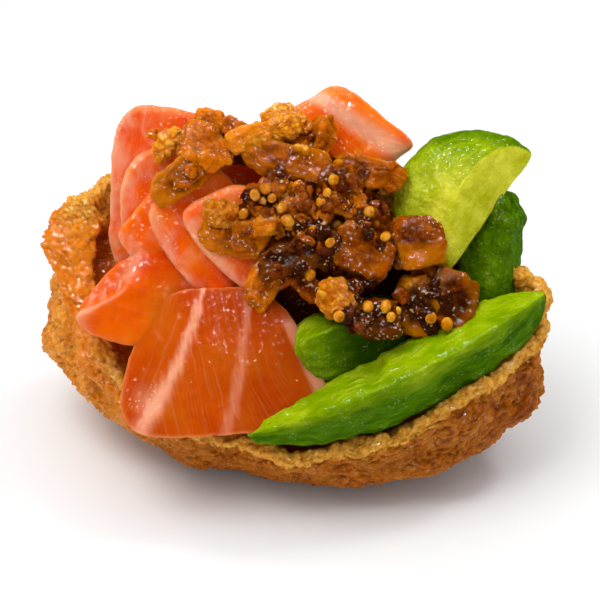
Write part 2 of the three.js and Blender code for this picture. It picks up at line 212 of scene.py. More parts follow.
class Finish:
    """A material, and short calls that add and join its nodes."""

    def __init__(self, name, **sockets):
        self.material = bpy.data.materials.new(name)
        self.material.use_nodes = True
        self.tree = self.material.node_tree
        self.shader = self.tree.nodes["Principled BSDF"]
        self.place = self.node("TexCoord").outputs["Object"]
        self.colour = None
        self.set(**sockets)

    def set(self, **sockets):
        """Fills inputs of the shader, by their names with _ for a space."""
        for socket, value in sockets.items():
            self.put(self.shader.inputs[socket.replace("_", " ")], value)

    def put(self, socket, value):
        if isinstance(value, bpy.types.NodeSocket):
            self.tree.links.new(value, socket)
        else:
            socket.default_value = value

    def node(self, kind, inputs=(), **settings):
        made = self.tree.nodes.new("ShaderNode" + kind)
        for setting, value in settings.items():
            setattr(made, setting, value)
        for socket, value in dict(inputs).items():
            self.put(made.inputs[socket], value)
        return made

    def mark(self, name, output="Fac"):
        return self.node("Attribute", attribute_name=name).outputs[output]

    def math(self, operation, *values):
        return self.node("Math", enumerate(values), operation=operation).outputs[0]

    def step(self, value, low, high, start=0.0, end=1.0):
        """From `start` below `low` to `end` above `high`, with a soft step between."""
        inputs = {"Value": value, "From Min": low, "From Max": high, "To Min": start, "To Max": end}
        return self.node("MapRange", inputs, interpolation_type="SMOOTHSTEP").outputs[0]

    def noise(self, size, detail=3.0, roughness=0.5, distortion=0.0, stretch=(1, 1, 1), place=None):
        """Noise from 0 to 1 with features of `size`, drawn out along the axes by `stretch`. Its place is
        the point on the object, or a mark in mm."""
        measure = MM if place is None else 1
        scale = [1 / (measure * size * axis) for axis in stretch]
        inputs = {"Vector": place or self.place, "Scale": scale}
        where = self.node("Mapping", inputs).outputs[0]
        inputs = {"Vector": where, "Scale": 1.0, "Detail": detail}
        inputs |= {"Roughness": roughness, "Distortion": distortion}
        return self.node("TexNoise", inputs).outputs[0]

    def blend(self, share, under, over, mode="MIX"):
        inputs = {0: share, 6: under, 7: over}
        return self.node("Mix", inputs, data_type="RGBA", blend_type=mode).outputs[2]

    def ramp(self, value, *stops):
        """A colour for a value. Each stop is a place from 0 to 1 and the red, green and blue there."""
        made = self.node("ValToRGB", {"Fac": value})
        elements = made.color_ramp.elements
        elements.remove(elements[1])
        for index, (position, *colour) in enumerate(stops):
            element = elements[0] if index == 0 else elements.new(position)
            element.position = position
            element.color = srgb(*colour)
        return made.outputs["Color"]

    def cover(self, share, *colour, mode="MIX"):
        """Lays a colour over the one so far."""
        self.colour = self.blend(share, self.colour, srgb(*colour), mode)

    def paint_highlight_specks(self, share):
        """Painted highlights: tiny pale specks in clusters, laid over the colour."""
        spots = self.step(self.noise(0.4, 0), 0.66, 0.72)
        spots = self.math("MULTIPLY", spots, self.step(self.noise(3, 2), 0.46, 0.6))
        self.cover(self.math("MULTIPLY", spots, share), 255, 230, 196)

    def soften(self, weight, radius, scale):
        """Light scattered below the surface."""
        self.set(Subsurface_Weight=weight, Subsurface_Radius=radius, Subsurface_Scale=scale)

    def bump(self, height, depth, under=None):
        """A normal for a height of 0 to 1 that stands for `depth` mm."""
        inputs = {"Height": height, "Distance": depth * MM, "Strength": 1.0}
        if under is not None:
            inputs["Normal"] = under
        return self.node("Bump", inputs).outputs[0]

    def done(self):
        self.set(Base_Color=self.colour)
        return self.material


# ---------------------------------------------------------------- camera

CAMERA_HEIGHT = math.radians(36)  # of the view, above level
CAMERA_DISTANCE = 330
CAMERA_AIM = 25.5  # height of the point in the middle of the picture
CAMERA_LENS, SENSOR = 130.26, 36
PICTURE = 600  # width and height in pixels
CAMERA_AHEAD = Vector((0, math.cos(CAMERA_HEIGHT), -math.sin(CAMERA_HEIGHT)))
CAMERA_UPWARD = Vector((0, math.sin(CAMERA_HEIGHT), math.cos(CAMERA_HEIGHT)))
CAMERA_PLACE = Vector((0, 0, CAMERA_AIM)) - CAMERA_AHEAD * CAMERA_DISTANCE


def sight(x, y):
    """Direction from the camera through a pixel of the picture."""
    right, down = x - PICTURE / 2, y - PICTURE / 2
    ahead = CAMERA_AHEAD * (CAMERA_LENS / SENSOR * PICTURE)
    return (ahead + Vector((right, 0, 0)) - CAMERA_UPWARD * down).normalized()


def off_sight(points, x, y):
    """Distances from the line of sight through a pixel."""
    return np.linalg.norm(np.cross(points - np.array(CAMERA_PLACE), np.array(sight(x, y))), axis=1)


def make_camera():
    data = bpy.data.cameras.new("camera")
    data.lens = CAMERA_LENS
    data.clip_start = 0.01
    data.clip_end = 10
    camera = placed("camera", data)
    camera.location = CAMERA_PLACE * MM
    camera.rotation_euler = (math.pi / 2 - CAMERA_HEIGHT, 0, 0)
    bpy.context.scene.camera = camera


# ---------------------------------------------------------------- pouch

# Angles go round the bag from its right end, anticlockwise from above.
POUCH_LENGTH, POUCH_DEPTH = 76.2, 43  # of the mouth
CORNER_PINCH = 1.15
POUCH_TURN = math.radians(-12)
WALL = 2.4
RIM_LEFT, RIM_RIGHT = 34.5, 27  # height of the rim at the two ends
BACK_RISE, BACK_LEAN = 10, 5.5
FRONT_DIP, FRONT_DIP_AT, FRONT_DIP_SHARPNESS = 18.2, math.radians(-98), 1.8
FULLNESS, SUNK = 2.2, 1
WIDEST, WIDEST_SHARE = 8, 0.34  # height of the widest part: a length, and a share of the rim's height
NECK, NECK_LEFT, NECK_BELOW, NECK_SPAN = 0.03, 0.05, 7.5, 3.6  # how much it draws in below the rim
LEFT_BULGE, LEFT_BULGE_HEIGHT, LEFT_BULGE_SPAN = 2.2, 14, 7
FRONT_BULGE, FRONT_BULGE_AT, FRONT_BULGE_SPAN = 0.9, math.radians(217), 0.4  # at the left of the front
FOLD_AT, FOLD_SPAN = math.radians(192), 0.6  # where the top of the wall folds inwards
FOLD_HEIGHT, FOLD_REACH = 3.2, 4.2
CLUMP_AT, CLUMP_SPAN, CLUMP_REACH = math.radians(178), 0.16, 2.6  # a raised clump on the torn edge
# The corner of the bag at the left end.
EAR_AT, EAR_SPAN, EAR_RISE, EAR_FLARE, EAR_HEIGHT = math.radians(181), 0.26, 3, 2, 2.4
NEAT_AT, NEAT_SPAN = math.radians(203), 0.4  # where the edge isn't torn
# The inside of the wall goes down to a mound, less far at the front, where it also stands further in.
TROUGH, FRONT_TROUGH_SHARE, FRONT_INSET = 7, 0.3, 4
MOUND_TOP, MOUND_SHARE = 31.5, 0.93
SOLE_SHARE = 0.93
# Its rings by kind, in order. The outer rings lie closer together above CLOSE_SHARE.
POUCH_KINDS = ("base", "outer", "lip", "inner", "mound")
BASE_RINGS, OUTER_RINGS, CLOSE_RINGS, LIP_RINGS, INNER_RINGS, MOUND_RINGS = 8, 84, 30, 16, 22, 14
CLOSE_SHARE, INNER_START = 0.86, 0.04
POUCH_COLUMNS = 620


def rim_height(angle):
    ends = mix(RIM_LEFT, RIM_RIGHT, (1 + np.cos(angle)) / 2)
    back = BACK_RISE * np.maximum(0, np.sin(angle))
    facing = np.maximum(0, np.cos(angle - FRONT_DIP_AT))
    ragged = 0.5 * np.sin(7 * angle + 1) + 0.4 * np.sin(15 * angle + 2)
    ragged += EAR_RISE * bell(angle, EAR_AT, EAR_SPAN)
    return ends + back - FRONT_DIP * facing**FRONT_DIP_SHARPNESS + ragged


def swell(angle, z):
    """Share of its full width that the bag has at a height."""
    widest = WIDEST + WIDEST_SHARE * rim_height(angle)
    below = np.maximum(0, 1 - (z + SUNK) / (widest + SUNK))
    return (1 - below**FULLNESS) ** (1 / FULLNESS)


def skin_at(angle, z, inward):
    """Plan position of the bag's outer face at a height, moved `inward`, before the bag is turned."""
    cos, sin = np.cos(angle), np.sin(angle)
    left = np.maximum(0, -cos) ** 4
    under = rim_height(angle) - z
    spread = swell(angle, z) * (1 - (NECK + NECK_LEFT * left) * bell(under, NECK_BELOW, NECK_SPAN))
    lean = BACK_LEAN * (np.maximum(0, z) / rim_height(angle)) ** 2 * np.maximum(0, sin)
    bowed = np.sign(sin) * np.abs(sin) ** CORNER_PINCH
    normal = unit(np.stack([cos / POUCH_LENGTH, sin / POUCH_DEPTH], -1))
    folds = (
        LEFT_BULGE * bell(z, LEFT_BULGE_HEIGHT, LEFT_BULGE_SPAN) * left
        + FRONT_BULGE * bell(angle, FRONT_BULGE_AT, FRONT_BULGE_SPAN)
        + EAR_FLARE * bell(angle, EAR_AT, EAR_SPAN) * bell(under, FOLD_HEIGHT, EAR_HEIGHT)
        + 0.5 * np.sin(9 * angle + 0.12 * z + 1.1)
        + 0.3 * np.sin(17 * angle - 0.3 * z + 5)
        + 0.3 * np.sin(0.8 * z + 5 * np.sin(2 * angle))
    )
    reach = FOLD_REACH * bell(angle, FOLD_AT, FOLD_SPAN) + CLUMP_REACH * bell(angle, CLUMP_AT, CLUMP_SPAN)
    fold = reach * np.clip(1 - under / FOLD_HEIGHT, 0, 1) ** 0.8
    out = folds * np.minimum(1, z / 5) - fold - inward
    x = POUCH_LENGTH / 2 * spread * cos + normal[..., 0] * out
    y = POUCH_DEPTH / 2 * spread * bowed - lean + normal[..., 1] * out
    return x, y


def even_angles(columns):
    """Angles round the bag at even steps along its widest outline."""
    fine = np.linspace(0, TURN, 2000)
    outline = np.stack([POUCH_LENGTH * np.cos(fine), POUCH_DEPTH * np.sin(fine)], -1)
    length = np.concatenate([[0], np.cumsum(np.linalg.norm(np.diff(outline, axis=0), axis=1))])
    return np.interp(np.linspace(0, length[-1], columns + 1)[:-1], length, fine)


def pouch_rows(angle):
    """Rings of the bag from the resting spot up the outer face, over the lip and down to the mound, each
    with its kind and its share of that stretch."""
    half = WALL / 2
    rim = rim_height(angle) - half
    level = np.zeros_like(angle)
    foot_x, foot_y = skin_at(angle, level, 0)
    for share in np.linspace(0, SOLE_SHARE, BASE_RINGS):
        yield foot_x * share, foot_y * share, level, "base", share
    wide = np.linspace(0, CLOSE_SHARE, OUTER_RINGS, endpoint=False)
    close = np.linspace(CLOSE_SHARE, 1, CLOSE_RINGS, endpoint=False)
    for share in [*wide, *close]:
        yield *skin_at(angle, share * rim, 0), share * rim, "outer", share
    for share in np.linspace(0, 1, LIP_RINGS):
        bend = math.pi * share
        z = rim + half * math.sin(bend)
        yield *skin_at(angle, z, half * (1 - math.cos(bend))), z, "lip", share
    front = smooth(0.1, -0.6, np.sin(angle))
    shallow, inset = mix(1, FRONT_TROUGH_SHARE, front), FRONT_INSET * front
    for share in np.linspace(INNER_START, 1, INNER_RINGS):
        z = rim - share * TROUGH * shallow
        yield *skin_at(angle, z, WALL + inset * share), z, "inner", share
    foot = rim - TROUGH * shallow
    mound_x, mound_y = skin_at(angle, foot, WALL + inset)
    for share in np.linspace(MOUND_SHARE, 0, MOUND_RINGS):
        rise = min(1, (1 - share) / 0.8) ** 0.8
        yield mound_x * share, mound_y * share, mix(foot, MOUND_TOP, rise), "mound", share


def make_pouch():
    angle = even_angles(POUCH_COLUMNS)
    rows = list(pouch_rows(angle))
    x, y, z = np.array([row[:3] for row in rows]).transpose(1, 0, 2)
    cos, sin = math.cos(POUCH_TURN), math.sin(POUCH_TURN)
    skin = Skin(np.stack([x * cos - y * sin, x * sin + y * cos, z], -1))

    def along(kind):
        """The share of the stretch of one kind: 0 on the rings before it and 1 on those after."""
        place = POUCH_KINDS.index(kind)
        shares = [share if at == kind else float(POUCH_KINDS.index(at) > place) for *_, at, share in rows]
        return skin.flat(np.array(shares)[:, None])

    height = skin.points[:, 2]
    angles = skin.flat(angle[None, :])
    rim = rim_height(angles)
    left = smooth(-0.3, -0.9, np.cos(angles))
    right = smooth(0.3, 0.9, np.cos(angles))
    free = smooth(0, 2.5, height)  # the resting spot stays flat

    # Creases run up and down at the left end, along the bag in front, and both ways at the right end.
    place = warped(warped(skin.points, 8, 3.0, 1), 2.6, 1.1, 2)
    upright = ridges(place, (1.7, 1.7, 5.2), 3)
    level = ridges(place, (4.8, 2.4, 1.5), 4)
    net = pebbles(place, (2.3, 2.3, 2.3), 5)
    creases = mix(mix(level, upright, left), net, right * 0.7)
    small = pebbles(warped(skin.points, 1.4, 0.5, 6), (1.1, 1.1, 1.25), 7)
    length = left[:, None] * (-0.95, -0.95, 2.1) + (1.6, 1.6, 0.9)
    fibres = ridges(place, length, 15)
    relief = 0.7 * (creases - 0.6) + 0.24 * (1 - left) * (small**0.7 - 0.6)
    relief += mix(0.28, 0.5, left) * (fibres - 0.6)
    relief += 0.9 * waves(skin.points, 9, 8, 2) + 0.16 * waves(skin.points, (2.6, 2.6, 2.0), 9, 4, 0.6)

    # The torn edge is spongy: pitted and frayed.
    inner = along("inner")
    torn = 1 - 0.85 * bell(angles, NEAT_AT, NEAT_SPAN)
    raw = smooth(0.93, 1.0, along("outer")) * smooth(0.9, 0.35, inner) * torn
    frayed = pits(warped(skin.points, 1.5, 0.5, 10), 1.3, 11)
    relief -= raw * (0.45 * frayed - 0.1)
    relief += raw * 0.18 * waves(skin.points, 0.9, 12, 3)
    skin.push(relief * free * (1 - 0.7 * inner))
    plan = skin.points * (1, 1, 0)
    lift = raw * (0.9 * waves(plan, 3.4, 13, 3) + 0.3 * waves(plan, 1.1, 14, 2))
    clump = raw * bell(angles, CLUMP_AT, CLUMP_SPAN)
    lift += clump * (0.8 + 1.2 * waves(plan, 1.4, 16, 3))
    skin.points[:, 2] = np.maximum(skin.points[:, 2] + lift * free, 0)

    fine = mix(0.3 * small, 0.5 * fibres, left)
    skin.mark(
        # How deep in a crease each point lies, used to paint shade there.
        crease_shade=1 - np.clip(mix(0.7, 0.5, left) * creases + fine, 0, 1),
        raw=raw,
        inside=inner,
        # Where the mound inside the bag shows, painted nearly black as shade.
        mound=smooth(0.05, 0.35, along("mound")) * (1 - 0.85 * left),
        left=left,
        # How near the bottom each point lies, used to paint shade there.
        low=smooth(9, 0.5, height),
        under_rim=np.clip((rim - height) / 12, 0, 1),
    )
    return skin


def tofu_material():
    finish = Finish("fried_tofu", Coat_Roughness=0.08, Specular_IOR_Level=0)
    finish.soften(0.25, (1.0, 0.4, 0.05), 0.001)
    crease_shade, raw, inside, left = (finish.mark(name) for name in ("crease_shade", "raw", "inside", "left"))
    patches = finish.noise(6, 4, 0.6)
    fine = finish.noise(0.7, 4, 0.65)
    finish.colour = finish.ramp(
        patches, (0.32, 190, 96, 4), (0.46, 222, 130, 18), (0.56, 238, 152, 44), (0.68, 226, 126, 10)
    )
    finish.cover(finish.step(fine, 0.45, 0.7, 0, 0.6), 250, 180, 86)
    finish.cover(finish.step(fine, 0.5, 0.28, 0, 0.65), 164, 78, 2)
    # Painted shade darkens the creases.
    finish.cover(finish.step(crease_shade, 0.4, 0.95, 0, 0.95), 140, 60, 0)
    golden = finish.math("MULTIPLY", left, finish.step(finish.mark("under_rim"), 0.9, 0.35))
    finish.cover(finish.math("MULTIPLY", golden, 0.6), 240, 128, 0)
    # Painted shade: darker towards the bottom.
    finish.cover(finish.math("MULTIPLY", finish.mark("low"), 0.7), 142, 70, 0)
    # Painted shade: all but the left end is darkened, as the light comes from the left.
    finish.cover(finish.math("MULTIPLY_ADD", left, -0.9, 0.9), 204, 186, 160, mode="MULTIPLY")
    sponge = finish.ramp(fine, (0.3, 196, 110, 4), (0.6, 252, 190, 76))
    finish.colour = finish.blend(finish.step(raw, 0.3, 0.9, 0, 0.85), finish.colour, sponge)
    finish.cover(finish.step(inside, 0.3, 0.95, 0, 0.92), 184, 78, 2)
    # Painted shade: the mound inside the bag is nearly black.
    finish.cover(finish.mark("mound"), 54, 19, 0)
    # Painted highlight specks, more of them at the left end.
    finish.paint_highlight_specks(finish.math("MULTIPLY_ADD", left, 0.15, 0.18))
    grain = finish.math("ADD", finish.noise(0.45, 4, 0.7), finish.noise(1.3, 3, 0.6))
    grain = finish.math("MULTIPLY", grain, finish.math("MULTIPLY_ADD", left, -0.6, 1.0))
    finish.set(
        Roughness=finish.step(fine, 0.35, 0.65, 0.32, 0.55),
        Coat_Weight=finish.math("MULTIPLY_ADD", left, 0.16, 0.2),
        Normal=finish.bump(grain, 0.14),
        Coat_Normal=finish.bump(finish.noise(1.0, 0), 0.4),
    )
    return finish.done()


# ---------------------------------------------------------------- salmon

SLICE = 2.8  # thickness of a thin slice
UNDER_RINGS, EDGE_RINGS, UPPER_RINGS, SLICE_COLUMNS = 12, 20, 84, 280
EDGE_ROUNDNESS = 0.55

# Each slice by three of its corners, `nose`, `foot` and `top`, and `corner`, how square its corners are. It
# gets wider by `widen` from top to foot and by `belly` in the middle. Its crowns make the sides fall off.
SALMON = {
    "salmon_drape": dict(
        nose=(-26.4, -7.5, 32),
        foot=(-24, -22.4, 16.4),
        top=(0.2, -7.1, 34),
        thickness=3.4,
        widen=0.3,
        corner=3.6,
        crown_down=1.2,
        crown_across=2.6,
    ),
    "salmon_tongue": dict(
        nose=(-32.6, -14.4, 23.4),
        foot=(-13, -8.8, 27.6),
        top=(-31.8, -4.2, 32.6),
        thickness=3.4,
        widen=0.15,
        corner=1.9,
        crown_across=1.0,
    ),
    "salmon_fan_1": dict(
        nose=(-27.6, 11.3, 54.6), foot=(-29.4, 2.8, 27), top=(-5, 11.6, 49.1), crown_across=0.8, corner=4
    ),
    "salmon_fan_2": dict(
        nose=(-25.6, 6.1, 47.3), foot=(-26.8, 1.6, 33.3), top=(-15.8, 8, 50.5), corner=3.6, belly=0.15
    ),
    "salmon_fan_3": dict(
        nose=(-27.6, -0.4, 38.1), foot=(-19.7, -4.7, 28.7), top=(-17.5, 6.3, 46.9), corner=10, belly=0.05
    ),
    "salmon_fan_4": dict(
        nose=(-23.3, -1, 42.4), foot=(-13.9, -6.2, 29.1), top=(-12.5, 4.4, 47.3), corner=6, belly=0.12
    ),
    "salmon_fan_5": dict(
        nose=(-18.6, -3, 43.5), foot=(-6.5, -6.9, 30.4), top=(-8.2, 1.0, 46.8), corner=5, belly=0.15
    ),
    "salmon_back": dict(
        nose=(-5, 9.4, 50.6), foot=(7.4, 6.8, 41), top=(5.6, 14.6, 55.2), thickness=7, corner=7
    ),
}


def rounded_outline(corner, length, width, columns):
    """Points at even steps round a square of half size 1 with round corners, stretched to a length and a
    width."""
    fine = np.linspace(0, TURN, 4000)
    a = np.sign(np.cos(fine)) * np.abs(np.cos(fine)) ** (2 / corner)
    b = np.sign(np.sin(fine)) * np.abs(np.sin(fine)) ** (2 / corner)
    steps = np.hypot(np.diff(a) * length, np.diff(b) * width)
    path = np.concatenate([[0], np.cumsum(steps)])
    at = np.linspace(0, path[-1], columns, endpoint=False)
    return np.interp(at, path, a), np.interp(at, path, b)


def make_slice(nose, foot, top, thickness=SLICE, corner=8, widen=0, belly=0, crown_down=0, crown_across=0):
    """A cut of fish, a four-sided sheet with round corners. Its skin carries where each point is on the
    sheet: down and across in mm from the middle, and from -1 on its lower face to 1 on its upper face. It
    also carries the distance from the edge."""
    nose, foot, top = (np.array(point, float) for point in (nose, foot, top))
    centre = (foot + top) / 2
    down, across = (foot - nose) / 2, (top - nose) / 2
    normal = unit(np.cross(down, across))
    length, width = np.linalg.norm(down), np.linalg.norm(across)
    half = thickness / 2
    edge = half / min(length, width)
    inner = 1 - edge
    bend = np.linspace(0, math.pi, EDGE_RINGS + 2)[1:-1]
    rim = inner + edge * np.sin(bend) ** EDGE_ROUNDNESS
    under, upper = np.linspace(0, 1, UNDER_RINGS) * inner, np.linspace(1, 0, UPPER_RINGS) * inner
    reach = np.concatenate([under, rim, upper])[:, None]
    rise = -np.sign(np.cos(bend)) * np.abs(np.cos(bend)) ** EDGE_ROUNDNESS
    lift = np.concatenate([np.full(UNDER_RINGS, -1.0), rise, np.full(UPPER_RINGS, 1.0)])[:, None]
    a, b = (reach * side for side in rounded_outline(corner, length, width, SLICE_COLUMNS))
    lean = unit(
        normal
        + down * (2 * crown_down * a / length**2)[..., None]
        + across * (2 * crown_across * b / width**2)[..., None]
    )
    spread = b * (1 + widen * a + belly * (1 - a**2))
    grid = (
        centre
        + down * a[..., None]
        + across * spread[..., None]
        - normal * (crown_down * a**2 + crown_across * b**2)[..., None]
        + lean * (lift * half)[..., None]
    )
    skin = Skin(grid)
    sheet = np.stack([a * length, spread * width, np.broadcast_to(lift, a.shape)], -1)
    skin.mark(sheet=skin.flat(sheet), margin=skin.flat((1 - reach) * min(length, width)))
    return skin


def line_through(points, value):
    """The curve through three (down, across) points, as its across for each value of down."""
    down, across = np.array(points, float).T
    return np.polyval(np.polyfit(down, across, 2), value)


# Lines of fat, each through three (down, across) points, with its widths at the top and at the foot.
DRAPE_LINES = [
    dict(through=[(-10, -1.2), (1.3, -6.4), (7.7, -10.9)], width=(0.6, 1.9), strength=0.8),
    dict(through=[(-9.5, 5.3), (1, 3.1), (10.6, -0.1)], width=(0.5, 1.3), strength=0.45),
]


def finish_drape(skin):
    """It has two lines of fat, a pale membrane at the right and a wet dent at the lower left. Painted shade
    darkens it all over, more towards the right.
    """
    sheet = skin.marks["sheet"]
    down, across, _ = sheet.T
    spine, second = (line_through(line["through"], down) for line in DRAPE_LINES)
    wander = 0.5 * waves(sheet, (5, 1, 9), 20, 4, 0.65)
    fat = np.zeros_like(down)
    for line, at in zip(DRAPE_LINES, (spine, second)):
        width = np.interp(down, (-10, 10), line["width"])
        fat = np.maximum(fat, line["strength"] * bell(across + wander, at, width))
    fanned = across - (0.1 + 0.035 * np.maximum(0, across - second)) * down
    grain = np.where(across < spine, (across - spine) * 0.8, fanned)
    margin = across - mix(9.6, 13.2, (down + 4) / 11)
    membrane = smooth(-0.6, 0.6, margin) * smooth(-7, -4, down)
    dent = bell(down, 4.6, 2.6) * bell(across, -11.2, 2.0)
    skin.push(-0.7 * dent + 0.25 * fat)
    skin.mark(
        grain=np.stack([grain, down, across], -1),
        # The wet dent is also paled with the fat colour: a painted highlight.
        fat=np.clip(fat + 0.62 * membrane + 0.4 * dent, 0, 1),
        wet=np.clip(0.1 + dent * 1.6 + 0.15 * smooth(-5, -9, down), 0, 1),
        painted_shade=0.58 + 0.16 * smooth(-4, 9, across),
        # Painted shade: darker all over, more towards the right.
        lined=1,
    )


TONGUE_SHIFT = (-0.5, 0.85, 0.95)  # of its tip, left, back and up
# The ridge of its fold, as (down, across) points.
TONGUE_RIDGE = [(-13, -0.7), (-8.4, -0.4), (-4.3, 0.4), (-3.1, 1.2), (-1.9, 3.4), (-0.9, 7.5)]


def beside_path(down, across, path):
    """Distance from a path through (down, across) points, below 0 on its right."""
    place = np.stack([down, across], -1)
    nearest = np.full(len(down), np.inf)
    side = np.zeros(len(down))
    for start, end in zip(np.array(path[:-1]), np.array(path[1:])):
        run = end - start
        share = np.clip((place - start) @ run / (run @ run), 0, 1)
        off = place - start - share[:, None] * run
        far = np.linalg.norm(off, axis=1)
        side = np.where(far < nearest, np.sign(run[0] * off[:, 1] - run[1] * off[:, 0]), side)
        nearest = np.minimum(nearest, far)
    return nearest * side


def finish_tongue(skin):
    """It is folded along a ridge that runs from its tip to the middle and turns up to the top. A pale, wet
    patch lies to the left of the upper part of the ridge."""
    sheet = skin.marks["sheet"]
    down, across, lift = sheet.T
    skin.points = skin.points + smooth(1, -5, down)[:, None] * TONGUE_SHIFT
    above = beside_path(down, across, TONGUE_RIDGE)
    broad = smooth(-5.5, -2.5, down)
    width = np.where(above > 0, mix(0.5, 1.9, broad), mix(1.6, 3.4, broad))
    facet = smooth(0, 1.2, above) * smooth(5.5, 3, across)
    skin.push(np.maximum(lift, 0) * (mix(0.7, 1.5, broad) * bell(above, 0, width) - 0.5 * facet))
    # A pale line along the ridge's crest: a painted highlight, laid in with the fat colour and the wet
    # mark.
    line = bell(above, 0, 0.35) * smooth(-2, -4, down)
    streaks = 0.5 * smooth(0.1, 0.5, waves(sheet, (1.2, 3.5, 9), 22, 3)) * facet
    tip = smooth(-6.5, -10.5, down) * smooth(1.0, -0.5, above)
    flap = bell(above, 0.9, 1.5) * smooth(1.2, 3, across) * smooth(1.5, 0, down)
    skin.mark(
        grain=np.stack([across + 0.3 * down, down, across], -1),
        fat=np.clip(0.06 + 0.5 * line + 0.5 * flap + 0.45 * tip + streaks, 0, 1),
        wet=np.clip(0.1 + 1.2 * flap + 0.5 * line, 0, 1),
        # Painted shade, more towards its foot.
        painted_shade=0.24 + 0.45 * smooth(-2, 7, down) * smooth(4, 0, across),
        lined=0.3,
    )


def finish_fan(skin):
    """It has a pale band along its left edge and two veins beside it."""
    down, across, _ = skin.marks["sheet"].T
    from_edge = across - across.min() + 0.5 * waves(skin.points, 5, 21, 2)
    band = np.exp(-((np.maximum(0, from_edge - 0.4) / 1.9) ** 1.5))
    milky_and_lit = 0.3 * waves(warped(skin.points, 3, 1.2, 24), (1.7, 1.7, 3), 25, 4, 0.65)
    # Milky fat, plus paler higher up: painted light on the upper slices.
    milky_and_lit += 0.08 + 0.2 * smooth(36, 50, skin.points[:, 2])
    veins = bell(from_edge, 4.8, 0.5) + bell(from_edge, 7.6, 0.4)
    skin.mark(
        grain=np.stack([across + 0.08 * down, down, across], -1),
        fat=np.clip(0.53 * band + milky_and_lit * smooth(24, 5, from_edge) + 0.16 * veins, 0, 1),
        wet=0.35 + 0.65 * smooth(2, -7, down),
        painted_shade=0,
        lined=0.3,
    )


def finish_back(skin):
    """It has one broad stripe of fat."""
    down, across, _ = skin.marks["sheet"].T
    share = (down + 8) / 16
    stripe = bell(across, mix(2.0, 3.2, share), mix(1.3, 2.0, share))
    grain = np.stack([across, down, across], -1)
    skin.mark(grain=grain, fat=np.clip(1.1 * stripe, 0, 1), wet=0.8, painted_shade=0, lined=0.5)


def make_salmon():
    material = salmon_material()
    finishes = {"salmon_drape": finish_drape, "salmon_tongue": finish_tongue, "salmon_back": finish_back}
    for name, spec in SALMON.items():
        skin = make_slice(**spec)
        finishes.get(name, finish_fan)(skin)
        skin.push(0.35 * waves(skin.points, 6, 30, 2) + 0.12 * waves(skin.points, 1.7, 31, 3))
        del skin.marks["sheet"]
        add_piece("visual_" + name, [skin], material, name)


def salmon_material():
    finish = Finish("raw_salmon", Roughness=0.3, Coat_Roughness=0.06, Specular_IOR_Level=0)
    finish.soften(0.6, (1.0, 0.35, 0.06), 0.0025)
    fat, wet, margin, lined = (finish.mark(name) for name in ("fat", "wet", "margin", "lined"))
    grain = finish.mark("grain", "Vector")
    across_lines = finish.node("SeparateXYZ", {"Vector": grain}).outputs["X"]
    wander = finish.math("MULTIPLY", finish.noise(5, 3), 1.3)
    across_lines = finish.math("ADD", across_lines, wander)
    finish.colour = finish.ramp(
        finish.noise(7, 3, 0.55), (0.32, 236, 80, 0), (0.5, 250, 104, 2), (0.68, 255, 128, 16)
    )
    strength = finish.step(finish.noise(1, 2, 0.5, 0, (0.9, 9, 1000), grain), 0.4, 0.65, 0.05, 1)
    for spacing, width, share in ((1.45, 0.26, 0.45), (0.55, 0.16, 0.3)):
        off_line = finish.math("PINGPONG", across_lines, spacing / 2)
        line = finish.math("MULTIPLY", finish.step(off_line, width, 0.0, 0, share), strength)
        finish.cover(finish.math("MULTIPLY", line, lined), 255, 160, 96)
    # Painted shade, as much as each piece's mark asks.
    finish.cover(finish.mark("painted_shade"), 152, 54, 4)
    fibre = finish.noise(0.35, 3, 0.6, 0, (1, 14, 1000), grain)
    ragged = finish.math("ADD", fat, finish.math("MULTIPLY", finish.math("SUBTRACT", fibre, 0.5), 0.3))
    finish.cover(finish.step(ragged, 0.05, 1.05, 0, 0.9), 247, 176, 142)
    finish.cover(finish.math("MULTIPLY", finish.step(margin, 0.8, 0.0, 0, 0.4), lined), 255, 160, 100)
    # Painted highlight specks where the fish is wet.
    finish.paint_highlight_specks(finish.step(wet, 0.1, 0.9, 0, 0.6))
    sparkle = finish.math("MULTIPLY", finish.noise(1.0, 0), finish.step(wet, 0.1, 0.9, 0.5, 1.0))
    normal = finish.bump(finish.noise(1.4, 3, 0.5), 0.06)
    finish.set(
        Coat_Weight=finish.step(wet, 0, 0.8, 0.04, 0.3),
        Normal=normal,
        Coat_Normal=finish.bump(sparkle, 0.55, normal),
    )
    return finish.done()


# ---------------------------------------------------------------- avocado

# Flat faces of a section: the angle that each faces, from the ridge, and how far out it lies.
THREE_FACES = ((60, 0.58), (180, 0.58), (300, 0.58))
FOUR_FACES = ((45, 0.78), (135, 0.78), (225, 0.78), (315, 0.78))
WEDGE_RINGS, WEDGE_COLUMNS = 190, 200

